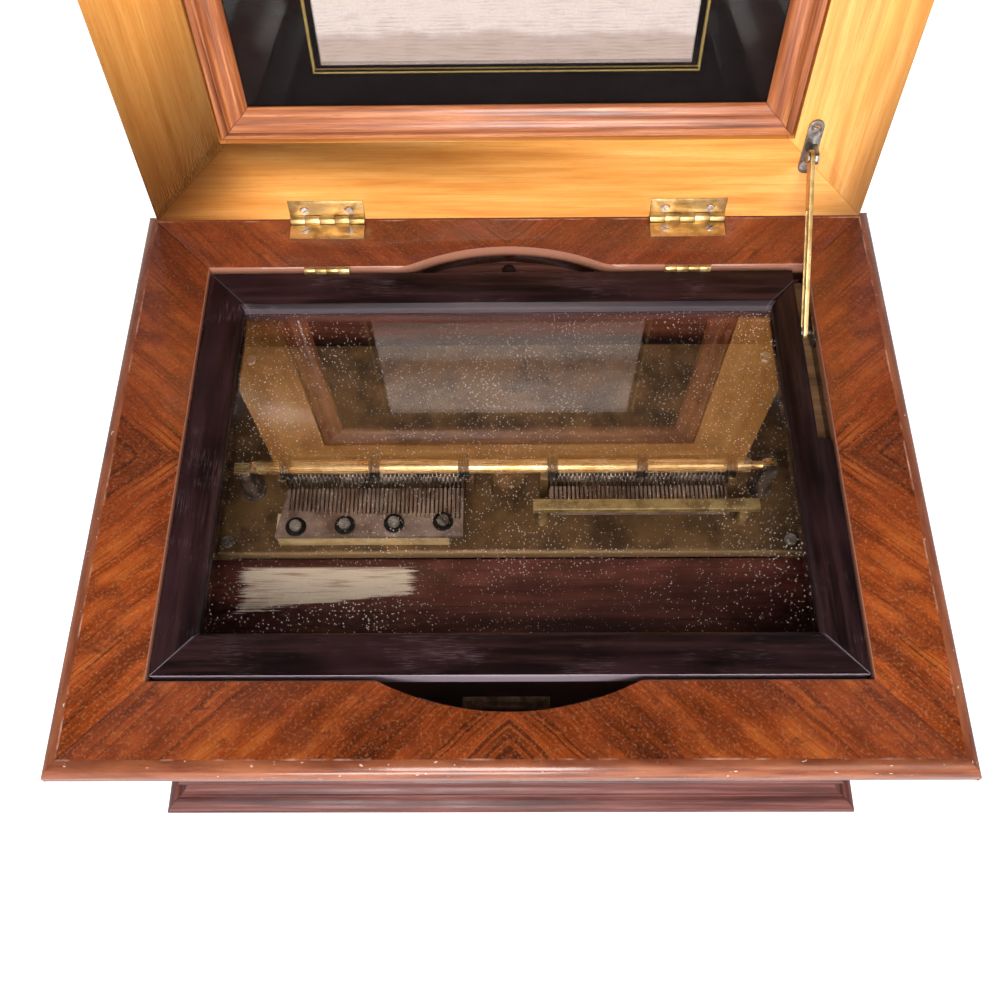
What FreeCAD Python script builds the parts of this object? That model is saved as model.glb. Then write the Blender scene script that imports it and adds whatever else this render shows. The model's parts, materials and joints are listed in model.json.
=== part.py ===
import FreeCAD, Part
import math
import os

from FreeCAD import Placement, Rotation, Vector

# A table disc musical box, its veneered lid open. Millimetres, +X to the right, +Y to the hinges, +Z up.
# The origin is the centre of the underside.

# Case
case_height = 190.0       # underside to the top of the veneered board
board_width = 474.0       # flat top of the board, left to right
board_depth = 362.0       # flat top of the board, front to back
board_thick = 16.0
board_mould_out = 8.5     # moulded edge, past the flat top
board_mould_drop = 7.0    # its rounded upper part
board_mould_face = 3.0    # its upright middle
board_edge_soften = 1.6   # worn inner edge of the board
side_rail_wide = 40.5     # flat edge to the opening
front_rail_wide = 42.7
back_rail_wide = 39.4
wall_inset_side = 20.0    # walls stand in from the board's flat edge
wall_inset_front = 23.5
wall_thick = 14.0
base_thick = 12.0
plinth_out = 18.0
plinth_height = 38.0
finger_reach = 17.7       # round cut in the board's front rail, past the opening
finger_centre_y = 1.0
arch_half = 74.0          # arched cut in the board's back rail
arch_reach = 16.4
arch_end_radius = 30.0
wall_left_by_scoop = 6.0  # wall left behind the scoops that let the disc turn
scoop_height = 28.0
ledge_wide = 17.0
ledge_thick = 12.0

# Disc and comb line
disc_axis_y = 7.5
disc_high = 24.3          # underside of a disc in place, above the bedplate

# Inner glazed lid
glass_lid_thick = 13.0
glass_lid_sunk = 3.0      # its top, below the board's
glass_gap_side = 0.7
glass_gap_front = 3.3
glass_gap_back = 2.6
glass_side_wide = 23.8
glass_front_wide = 25.0
glass_back_wide = 27.0
glass_chamfer = 2.5
rabbet_wide = 5.0
pane_thick = 2.0
bead_height = 2.7
glass_hinge_x = 119.0
glass_hinge_long = 30.0
glass_knuckle = 1.8       # outer radius
glass_pin = 0.8
glass_leaf_thick = 1.2
glass_leaf_tall = 9.6
glass_knuckles = 4

# Main lid, drawn closed and then swung open
lid_open_angle = 97.63
lid_gap = 2.0             # between board and lid when it is shut
lid_border_thick = 14.0
lid_rim_high = 30.0
lid_rim_ledge = 6.0
lid_panel_inset = 30.0
lid_panel_thick = 8.0
picture_side_in = 58.0    # lid edge to the picture moulding
picture_end_in = 62.0
picture_mould_wide = 19.5
picture_mould_back = 1.0  # moulding face behind the border face
picture_sight_deep = 6.5
shadow_gap = 1.0
picture_rabbet = 4.0
picture_glass_thick = 2.0
hinge_x = 121.0
hinge_long = 50.0
hinge_leaf_long = 15.0
hinge_leaf_thick = 1.6
hinge_knuckle = 3.2       # outer radius
hinge_pin = 1.3
hinge_knuckles = 5
hinge_screw_x = 15.0
hinge_screw_in = 8.0      # screw, from the pin

# Lid stay
stay_side_gap = 6.0       # middle of the bar, from the side of the opening
stay_thick = 2.5
stay_pivot_out = 54.0     # pivot on the lid, from the hinge axis
stay_pivot_off = 8.0      # and in front of the hinge axis
stay_stud_front = 88.0    # stud, in front of the hinge axis
stay_stud_below = 9.0
stay_wide = 9.0
stay_slot_wide = 5.0
stay_stud_radius = 2.2
stud_head_radius = 3.4
stay_ear_thick = 2.35
rivet_radius = 2.0
rivet_head_radius = 3.2
rivet_head_thick = 0.9
stay_plate_thick = 1.6
stay_notch_gap = 1.75      # beside the bar, in the glazed lid's edge
stay_notch_spare = 3.0

# Movement
bedplate_deep = 63.0      # its top, below the board's
bedplate_thick = 8.0
bedplate_side_gap = 18.0  # to the case walls
bedplate_front = -37.0
bedplate_back = 122.0
bedplate_edge = 3.0
bearer_overlap = 9.0
deck_step = 9.0           # down from the bedplate
deck_thick = 8.0
star_axis_high = 18.0     # heights above the bedplate
star_radius = 6.2
star_root = 3.4           # hollows between the points
star_points = 5
star_thick = 0.9
star_rod = 1.5
tooth_count = 42
tooth_gap = 1.0
comb_thick = 3.0
comb_tip_gap = 0.8        # comb tips to star points
comb_middle_gap = 28.44   # from the spindle to the left comb
left_comb_in = 38.0       # comb's outer corner, from the bedplate's end
left_comb_high = 17.0
left_comb_front = -33.0
left_comb_slant = 6.0
left_screw_first = 14.0
left_screw_ends = 20.46   # comb length that the row of screws leaves
left_screw_slant = 1.1
left_screw_in = 6.5
right_bar_out = 10.4      # past the comb, towards the spindle
right_bar_in = 28.0       # from the bedplate's end
right_bar_front = -18.4
right_bar_back = -11.0
right_bar_high = 19.0
right_bar_thick = 5.0
right_comb_near = 2.44    # nearer to the spindle than the left comb
right_pillar_radius = 4.0
right_pillar_in = 6.0
bar_screw_in = 5.28       # outer screws, from the comb's ends
comb_slot_wide = 1.0
comb_slot_deep = 1.2
washer_radius = 6.5
washer_thick = 1.4
bar_axis_high = 33.0
bar_radius = 4.5
post_radius = 5.5
post_foot_radius = 8.0
post_foot_high = 3.0
bar_pivot_in = 22.0       # posts, from the bedplate's ends
bar_catch_in = 19.0
roller_radius = 8.15
roller_wide = 6.6
roller_ends = 51.5        # length between the posts that the rollers leave
roller_count = 6
spindle_radius = 3.0
spindle_proud = 3.7       # above the disc
hub_radius = 11.0
dog_radius = 1.2
dog_circle = 8.0
dog_high = 2.7

# Spring motor under the bedplate
gear_side_gap = 2.487     # great wheel to the right bearer
great_teeth = 48
spindle_teeth = 26
pinion_teeth = 8
gear_thick = 5.0
gear_drop = 27.0          # wheels, below the bedplate's top
gear_tooth_out = 0.9      # tooth tip past the pitch circle, in modules
mesh_angle = 27.5         # from the spindle to the barrel, seen from above
governor_angle = 150.0
barrel_in = 17.0          # drum inside its wheel's pitch circle
barrel_drop = 3.0         # drum, below its wheel
barrel_boss_radius = 14.0
arbor_radius = 4.0
motor_plate_level = 36.0
motor_plate_thick = 4.0
motor_pillar_radius = 4.0
fan_radius = 19.0
fan_half_thick = 0.6
fan_gap = 15.0            # to the wheel above and the plate below
motor_left_out = 10.3     # motor plate, past the spindle wheel
motor_right_in = 4.7      # and inside the great wheel
motor_front_in = 8.7
motor_back_out = 14.0     # past the governor
winding_level = 56.0
winding_radius = 5.0
winding_square = 7.0
winding_out = 12.0
winding_box_radius = 30.0
winding_box_high = 22.7
escutcheon_half = 12.5
escutcheon_corner = 5.0
escutcheon_thick = 2.5

# Clearances
seat_gap = 0.3            # between pieces that pass or rest on each other
run_gap = 0.05            # round a shaft or pin in its hole
facet_gap = 0.4           # between gear teeth

round_flat_count = 12     # small turning pieces
head_flat_count = 8
shank_flat_count = 6
SCREWS = {                # head radius, head height, shank radius, shank length
    "hinge": (3.0, 1.6, 1.4, 8.0),
    "plate": (1.8, 1.6, 0.9, 5.0),
    "bedplate": (4.0, 2.2, 2.0, 18.0),
    "comb": (3.6, 2.6, 2.0, 12.0),
    "bar": (3.2, 2.2, 1.8, 7.0),
}
SIDES = {
    "front": (Vector(0, -1, 0), Vector(1, 0, 0)),
    "back": (Vector(0, 1, 0), Vector(1, 0, 0)),
    "left": (Vector(-1, 0, 0), Vector(0, 1, 0)),
    "right": (Vector(1, 0, 0), Vector(0, 1, 0)),
}
TURNS = {
    "z": Rotation(),
    "-z": Rotation(Vector(1, 0, 0), 180),
    "x": Rotation(Vector(0, 1, 0), 90),
    "-x": Rotation(Vector(0, 1, 0), -90),
    "y": Rotation(Vector(1, 0, 0), -90),
    "-y": Rotation(Vector(1, 0, 0), 90),
}


def grown(rect, by):
    """A plan rectangle (half width, front, back) made larger all round."""
    half, low, high = rect
    return half + by, low - by, high + by


def framed(rect, side_in, front_in, back_in):
    """A plan rectangle taken in by the widths of a frame's members."""
    half, low, high = rect
    return half - side_in, low + front_in, high - back_in


half_width = board_width / 2
half_depth = board_depth / 2
board_bottom = case_height - board_thick
board_rect = (half_width, -half_depth, half_depth)
open_rect = framed(board_rect, side_rail_wide, front_rail_wide, back_rail_wide)
wall_rect = framed(board_rect, wall_inset_side, wall_inset_front, wall_inset_front)
room_rect = grown(wall_rect, -wall_thick)

finger_radius = finger_centre_y - open_rect[1] + finger_reach
stay_x = open_rect[0] - stay_side_gap

glass_rect = framed(open_rect, glass_gap_side, glass_gap_front, glass_gap_back)
sight_rect = framed(glass_rect, glass_side_wide, glass_front_wide, glass_back_wide)
glass_lid_top = case_height - glass_lid_sunk
glass_lid_bottom = glass_lid_top - glass_lid_thick
glass_axis = Vector(0, (glass_rect[2] + open_rect[2]) / 2, glass_lid_top + glass_knuckle - 0.2)

hinge_axis = Vector(0, half_depth, case_height + lid_gap / 2)
lid_face = case_height + lid_gap
border_back = lid_face + lid_border_thick
lid_top = border_back + lid_rim_high
mould_rect = framed(board_rect, picture_side_in, picture_end_in, picture_end_in)
rabbet_rect = grown(mould_rect, picture_rabbet - picture_mould_wide)

bedplate_half = room_rect[0] - bedplate_side_gap
bedplate_top = case_height - bedplate_deep
bedplate_under = bedplate_top - bedplate_thick
deck_top = bedplate_top - deck_step
disc_level = bedplate_top + disc_high
spindle_top = disc_level + spindle_proud
spindle_at = Vector(0, disc_axis_y, 0)

left_comb_start = left_comb_in - bedplate_half
comb_long = -left_comb_start - left_comb_slant - comb_middle_gap
tooth_pitch = comb_long / tooth_count
left_comb_top = bedplate_top + left_comb_high
right_comb_start = comb_middle_gap - right_comb_near
right_bar_start = right_comb_start - right_bar_out
right_bar_end = bedplate_half - right_bar_in
right_bar_bottom = bedplate_top + right_bar_high
star_axis_z = bedplate_top + star_axis_high
bar_axis_z = bedplate_top + bar_axis_high
bar_pivot_x = bedplate_half - bar_pivot_in
bar_catch_x = bar_catch_in - bedplate_half
roller_pitch = (bar_pivot_x - bar_catch_x - roller_ends) / (roller_count - 1)

gear_level = bedplate_top - gear_drop
mesh_share = math.cos(math.radians(mesh_angle))
gear_reach = mesh_share * (great_teeth + spindle_teeth) / 2 + great_teeth / 2 + gear_tooth_out
gear_room = bedplate_half - bearer_overlap - gear_side_gap
gear_module = (gear_room - facet_gap * mesh_share) / gear_reach
great_radius = gear_module * great_teeth / 2
barrel_radius = great_radius - barrel_in
motor_plate_top = motor_plate_level + motor_plate_thick
winding_box_top = motor_plate_top + winding_box_high
barrel_deep = gear_level - barrel_drop - winding_box_top - seat_gap


def plane_point(plane, a, b, level):
    """A point of a flat outline in the plan, the front view or the side view."""
    if plane == "xy":
        return Vector(a, b, level)
    if plane == "xz":
        return Vector(a, level, b)
    return Vector(level, a, b)


def outline(plane, points, level=0.0):
    """A flat face. A point's third number bows the line that leads to it, to the left of its way."""
    edges = []
    for start, end in zip(points[-1:] + points[:-1], points):
        first = plane_point(plane, start[0], start[1], level)
        last = plane_point(plane, end[0], end[1], level)
        if len(end) == 2:
            edges.append(Part.LineSegment(first, last).toShape())
            continue
        along_a, along_b = end[0] - start[0], end[1] - start[1]
        share = end[2] / math.hypot(along_a, along_b)
        mid_a = (start[0] + end[0]) / 2 - along_b * share
        mid_b = (start[1] + end[1]) / 2 + along_a * share
        edges.append(Part.Arc(first, plane_point(plane, mid_a, mid_b, level), last).toShape())
    return Part.Face(Part.Wire(edges))


def block(x_from, x_to, y_from, y_to, z_from, z_to):
    """A plain block between two corners."""
    return Part.makeBox(x_to - x_from, y_to - y_from, z_to - z_from, Vector(x_from, y_from, z_from))


def rod(radius, length, at, axis="z"):
    """A round rod from a point along an axis."""
    return Part.makeCylinder(radius, length, at, TURNS[axis].multVec(Vector(0, 0, 1)))


def turned(points, at, axis="z"):
    """A lathe piece: an outline of (radius, height) spun about the axis that starts at a point."""
    solid = outline("xz", points).revolve(Vector(), Vector(0, 0, 1), 360)
    solid.Placement = Placement(at, TURNS[axis])
    return solid


def fused(pieces):
    """Solids made into one."""
    return pieces[0].multiFuse(pieces[1:]).removeSplitter()


def cut_by(solid, tools):
    """A solid with the room for other pieces taken out."""
    for tool in tools:
        solid = solid.cut(tool)
    return solid


def write(name, solids):
    """Save a named piece, or a group of like pieces, as one file."""
    shape = Part.makeCompound(solids) if isinstance(solids, list) else solids
    shape.exportStep("parts/" + name + ".step")


def mitred_rail(side, profile, edge, far):
    """One member of a mitred frame. The profile's (outward, z) points count from the edge rectangle."""
    away, along = SIDES[side]
    spans = {"left": 0, "right": 0, "front": 1, "back": 2}
    edge_away = abs(edge[spans[side]])
    far_away = abs(far[spans[side]])
    edge_ends = (edge[1], edge[2]) if spans[side] == 0 else (-edge[0], edge[0])
    far_ends = (far[1], far[2]) if spans[side] == 0 else (-far[0], far[0])
    outs = [point[0] for point in profile]
    heights = [point[1] for point in profile]
    margin = board_mould_out
    low, high = min(outs) - margin, max(outs) + margin
    corners = []
    for out, end in ((low, 0), (high, 0), (high, 1), (low, 1)):
        share = out / (far_away - edge_away)
        where = edge_ends[end] + (far_ends[end] - edge_ends[end]) * share
        corners.append(away * (edge_away + out) + along * where)
    wedge = [(point.x, point.y) for point in corners]
    wedge = outline("xy", wedge, min(heights) - margin)
    wedge = wedge.extrude(Vector(0, 0, max(heights) - min(heights) + 2 * margin))
    length = edge_ends[1] - edge_ends[0] + 2 * (high - low)
    flat = outline("xz", profile)
    bar = flat.extrude(Vector(0, length, 0))
    turn = {"right": 0, "back": 90, "left": 180, "front": 270}[side]
    bar.translate(Vector(edge_away, -length / 2, 0))
    bar.rotate(Vector(), Vector(0, 0, 1), turn)
    middle = along * ((edge_ends[0] + edge_ends[1]) / 2)
    bar.translate(middle)
    return bar.common(wedge)


def swung_open(shape):
    """A piece of the lid, drawn shut, turned back to where the stay holds it."""
    moved = shape.copy()
    moved.rotate(hinge_axis, Vector(1, 0, 0), -lid_open_angle)
    return moved


def faceted(sides, radius, length, at, axis="z"):
    """A small round piece drawn with few flats, from a point along an axis."""
    corners = []
    for n in range(sides):
        angle = 2 * math.pi * (n + 0.5) / sides
        corners.append((radius * math.cos(angle), radius * math.sin(angle)))
    solid = outline("xy", corners).extrude(Vector(0, 0, length))
    solid.Placement = Placement(at, TURNS[axis])
    return solid


def room_round(radius, length, at, axis="z"):
    """A tool for the room round a turning piece, whose flats stand clear of its radius."""
    return faceted(round_flat_count, radius / math.cos(math.pi / round_flat_count), length, at, axis)


def screw(kind, at, axis):
    """A screw whose head's top face is at a point; the axis runs from the tip to the head."""
    head_radius, head_high, shank_radius, shank_long = SCREWS[kind]
    head = faceted(head_flat_count, head_radius, head_high, Vector(0, 0, -head_high))
    shank = faceted(shank_flat_count, shank_radius, shank_long, Vector(0, 0, -head_high - shank_long))
    solid = fused([head, shank])
    solid.Placement = Placement(at, TURNS[axis])
    return solid


def slotted(solid, at, width, depth):
    """A driver slot across a screw head that faces up."""
    left, right = at.x - washer_radius, at.x + washer_radius
    front, back = at.y - width / 2, at.y + width / 2
    return solid.cut(block(left, right, front, back, at.z - depth, at.z + 1))


# Case pieces


def board_profile(rail_wide):
    """Section of a board rail: softened inner edge, flat top, rounded outer edge with an undercut."""
    out = board_mould_out
    face_top = case_height - board_mould_drop
    return [
        (-rail_wide, board_bottom),
        (out - board_mould_face, board_bottom),
        (out, face_top - board_mould_face, -1.2),
        (out, face_top),
        (0, case_height, -2.0),
        (-rail_wide + board_edge_soften, case_height),
        (-rail_wide, case_height - board_edge_soften, -0.5),
    ]


def finger_cut():
    """The round bite out of the front rail."""
    return rod(finger_radius, board_thick + 2, Vector(0, finger_centre_y, board_bottom - 1))


def arch_cut():
    """The low arch in the back rail, whose ends sweep into the straight edge."""
    edge = open_rect[2]
    radii = (arch_half ** 2 + arch_reach ** 2) / (2 * arch_reach)
    big = radii - arch_end_radius
    centre_y = edge + arch_reach - big
    join_share = big / radii
    join_x = arch_half * join_share
    join_y = centre_y + (edge + arch_end_radius - centre_y) * join_share
    end_half = math.hypot(arch_half - join_x, join_y - edge) / 2
    end_bow = arch_end_radius - math.sqrt(arch_end_radius ** 2 - end_half ** 2)
    crown_bow = big - math.sqrt(big ** 2 - join_x ** 2)
    back = edge - back_rail_wide / 2
    points = [
        (-arch_half, back),
        (arch_half, back),
        (arch_half, edge),
        (join_x, join_y, end_bow),
        (-join_x, join_y, -crown_bow),
        (-arch_half, edge, end_bow),
    ]
    return outline("xy", points, board_bottom - 1).extrude(Vector(0, 0, board_thick + 2))


def hinge_centres(at_x):
    """The two places of a pair of hinges."""
    return (-at_x, at_x)


def case_hinge_pockets():
    """Room in the back rail for the lid hinges' lower leaves and knuckles."""
    tools = []
    half = hinge_long / 2 + seat_gap
    leaf_bottom = case_height - hinge_leaf_thick
    for x in hinge_centres(hinge_x):
        front, back = half_depth - hinge_leaf_long - seat_gap, half_depth + board_mould_out
        tools.append(block(x - half, x + half, front, back, leaf_bottom, case_height + 1))
        tools.append(room_round(hinge_knuckle + seat_gap, 2 * half, hinge_axis + Vector(x - half, 0, 0), "x"))
    return tools


def case_hinge_screws():
    """Two countersunk screws for each lower leaf."""
    solids = []
    for x in hinge_centres(hinge_x):
        for offset in (-hinge_screw_x, hinge_screw_x):
            at = Vector(x + offset, half_depth - hinge_screw_in, case_height)
            solids.append(screw("hinge", at, "z"))
    return solids


def glass_hinge_pockets():
    """Room in the recess wall for the glazed lid's fixed leaves."""
    tools = []
    half = glass_hinge_long / 2 + seat_gap
    for x in hinge_centres(glass_hinge_x):
        back = glass_axis.y + glass_knuckle
        bottom = glass_axis.z - glass_leaf_tall - seat_gap
        tools.append(block(x - half, x + half, open_rect[2] - 1, back, bottom, case_height + 1))
    return tools


def winding_hole():
    """The hole for the winding arbor through the right bearer and wall."""
    start = bedplate_half - bearer_overlap - 1
    at = Vector(start, barrel_at().y, winding_level)
    return rod(winding_radius + seat_gap, wall_rect[0] + 1 - start, at, "x")


def make_case():
    """Bottom, walls, plinth moulding and the veneered board."""
    half, front, back = wall_rect
    write("base_board", block(-half, half, front, back, 0, base_thick))
    foot, step = plinth_out / 2, 1.5
    plinth = [
        (0, 0),
        (plinth_out, 0),
        (plinth_out, 2),
        (foot, 10, -2.2),
        (foot, 10 + step),
        (foot - step, 10 + step),
        (step + 1, plinth_height - 12, 2.6),
        (step + 1, plinth_height - 10),
        (step + 3, plinth_height - 9),
        (step + 3, plinth_height - 6),
        (step + 1, plinth_height - 5),
        (0, plinth_height),
    ]
    write("plinth_moulding", [mitred_rail(s, plinth, wall_rect, grown(wall_rect, plinth_out)) for s in SIDES])

    scoop_floor = board_bottom - scoop_height
    front_radius = finger_centre_y - front - wall_left_by_scoop
    back_radius = back - wall_left_by_scoop - disc_axis_y
    front_scoop = rod(front_radius, scoop_height, Vector(0, finger_centre_y, scoop_floor))
    back_scoop = rod(back_radius, scoop_height, Vector(0, disc_axis_y, scoop_floor))
    inner = half - wall_thick
    front_wall = block(-half, half, front, front + wall_thick, base_thick, board_bottom)
    back_wall = block(-half, half, back - wall_thick, back, base_thick, board_bottom)
    left_wall = block(-half, -inner, front + wall_thick, back - wall_thick, base_thick, board_bottom)
    right_wall = block(inner, half, front + wall_thick, back - wall_thick, base_thick, board_bottom)
    write("front_wall", front_wall.cut(front_scoop))
    write("back_wall", back_wall.cut(back_scoop))
    write("left_wall", left_wall)
    write("right_wall", right_wall.cut(winding_hole()))

    widths = {
        "front": front_rail_wide,
        "back": back_rail_wide,
        "left": side_rail_wide,
        "right": side_rail_wide,
    }
    tools = {"front": [finger_cut()], "left": [], "right": plate_screws()}
    tools["back"] = [arch_cut()] + case_hinge_pockets() + case_hinge_screws() + glass_hinge_pockets()
    for side, width in widths.items():
        rail = mitred_rail(side, board_profile(width), board_rect, open_rect)
        write("top_rail_" + side, cut_by(rail, tools[side]))

    ledges = []
    ledge_top = glass_lid_bottom - seat_gap
    for end in (-1, 1):
        low, high = sorted((end * inner, end * (inner - ledge_wide)))
        ledges.append(block(low, high, glass_rect[1], glass_rect[2], ledge_top - ledge_thick, ledge_top))
    write("glass_lid_ledges", ledges)


def make_shelves():
    """Bearers that carry the movement, and the varnished shelf in front of it."""
    inner = room_rect[0]
    bearers = []
    for end in (-1, 1):
        low, high = sorted((end * inner, end * (bedplate_half - bearer_overlap)))
        bearers.append(block(low, high, bedplate_front, bedplate_back, base_thick, bedplate_under))
    write("movement_bearers", cut_by_each(bearers, bedplate_screws() + [winding_hole()]))
    shelf = block(-inner, inner, room_rect[1], bedplate_front - seat_gap, deck_top - deck_thick, deck_top)
    write("front_shelf", shelf)


def cut_by_each(solids, tools):
    """Each solid of a group with the same tools taken out."""
    return [cut_by(solid, tools) for solid in solids]


# Inner glazed lid


def glass_profile(wide):
    """Section of a glazed lid member: chamfered sight edge, and a rabbet below for the pane."""
    pane_top = glass_lid_bottom + bead_height + seat_gap + pane_thick
    return [
        (0, glass_lid_bottom),
        (0, glass_lid_top),
        (-wide + glass_chamfer, glass_lid_top),
        (-wide, glass_lid_top - glass_chamfer),
        (-wide, pane_top),
        (-wide + rabbet_wide, pane_top),
        (-wide + rabbet_wide, glass_lid_bottom),
    ]


def glass_leaf(x, moving):
    """One leaf of a glazed lid hinge, with every other knuckle."""
    knuckle_long = glass_hinge_long / glass_knuckles
    start = x - glass_hinge_long / 2
    pieces = []
    sign = -1 if moving else 1
    outer = glass_axis.y + sign * glass_knuckle
    inner = outer - sign * glass_leaf_thick
    low, high = sorted((outer, inner))
    bottom = glass_axis.z - glass_leaf_tall
    top = glass_axis.z - glass_knuckle - seat_gap
    pieces.append(block(start, start + glass_hinge_long, low, high, bottom, top))
    for n in range(glass_knuckles):
        if (n % 2 == 1) != moving:
            continue
        left = start + n * knuckle_long + seat_gap / 2
        long = knuckle_long - seat_gap
        pieces.append(faceted(round_flat_count, glass_knuckle, long, glass_axis + Vector(left, 0, 0), "x"))
        pieces.append(block(left, left + long, low, high, top, glass_axis.z))
    leaf = fused(pieces)
    bore = room_round(glass_pin + run_gap, glass_hinge_long, glass_axis + Vector(start, 0, 0), "x")
    return leaf.cut(bore)


def make_glass_lid():
    """Ebonised frame, pane, beads and hinges."""
    widths = {
        "front": glass_front_wide,
        "back": glass_back_wide,
        "left": glass_side_wide,
        "right": glass_side_wide,
    }
    moving = [glass_leaf(x, True) for x in hinge_centres(glass_hinge_x)]
    fixed = [glass_leaf(x, False) for x in hinge_centres(glass_hinge_x)]
    half = glass_hinge_long / 2 + seat_gap
    low, high = glass_lid_bottom - 1, glass_lid_top + 1
    pockets = []
    for x in hinge_centres(glass_hinge_x):
        front, bottom = glass_axis.y - glass_knuckle, glass_axis.z - glass_leaf_tall - seat_gap
        pockets.append(block(x - half, x + half, front, glass_axis.y, bottom, high))
    notch_x = stay_x - stay_thick / 2 - stay_notch_gap
    notch_front = hinge_axis.y - stay_pivot_out - stay_length() - stay_notch_spare
    notch = block(notch_x, glass_rect[0] + 1, notch_front, glass_rect[2] + 1, low, high)
    for side, width in widths.items():
        rail = mitred_rail(side, glass_profile(width), glass_rect, sight_rect)
        tools = {"back": pockets + [notch], "right": [notch]}.get(side, [])
        write("glass_lid_" + side, cut_by(rail, tools))
    pane_low = glass_lid_bottom + bead_height + seat_gap
    pane_rect = grown(sight_rect, rabbet_wide - seat_gap)
    half_pane, pane_front, pane_back = pane_rect
    write("glass_pane", block(-half_pane, half_pane, pane_front, pane_back, pane_low, pane_low + pane_thick))
    bead_wide = rabbet_wide - seat_gap
    bead_low = pane_low - bead_height
    bead = [(0, bead_low), (0, pane_low), (-bead_wide, pane_low), (1 - bead_wide, bead_low)]
    bead_rect = grown(sight_rect, rabbet_wide)
    write("glass_beads", [mitred_rail(s, bead, bead_rect, sight_rect) for s in SIDES])
    write("glass_hinge_leaves_lid", moving)
    write("glass_hinge_leaves_case", fixed)


# Main lid


def hinge_leaf(x, on_lid):
    """One leaf of a lid hinge, drawn shut. The lid has the outer and middle knuckles."""
    knuckle_long = hinge_long / hinge_knuckles
    start = x - hinge_long / 2
    bottom = lid_face if on_lid else case_height - hinge_leaf_thick
    top = bottom + hinge_leaf_thick
    back = hinge_axis.y - hinge_knuckle - seat_gap
    pieces = [block(start, start + hinge_long, half_depth - hinge_leaf_long, back, bottom, top)]
    for n in range(hinge_knuckles):
        if (n % 2 == 0) != on_lid:
            continue
        left = start + n * knuckle_long + seat_gap / 2
        long = knuckle_long - seat_gap
        pieces.append(block(left, left + long, back, hinge_axis.y, bottom, top))
        pieces.append(faceted(round_flat_count, hinge_knuckle, long, hinge_axis + Vector(left, 0, 0), "x"))
    leaf = fused(pieces)
    return leaf.cut(room_round(hinge_pin + run_gap, hinge_long, hinge_axis + Vector(start, 0, 0), "x"))


def lid_hinge_screws():
    """Two countersunk screws for each upper leaf, drawn shut."""
    solids = []
    for x in hinge_centres(hinge_x):
        for offset in (-hinge_screw_x, hinge_screw_x):
            at = Vector(x + offset, half_depth - hinge_screw_in, lid_face)
            solids.append(screw("hinge", at, "-z"))
    return solids


def lid_hinge_pockets():
    """Room in the lid's back border for the upper leaves and knuckles, drawn shut."""
    tools = []
    half = hinge_long / 2 + seat_gap
    for x in hinge_centres(hinge_x):
        front = half_depth - hinge_leaf_long - seat_gap
        top = lid_face + hinge_leaf_thick
        tools.append(block(x - half, x + half, front, half_depth + 1, lid_face - 1, top))
        tools.append(room_round(hinge_knuckle + seat_gap, 2 * half, hinge_axis + Vector(x - half, 0, 0), "x"))
    return tools


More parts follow.
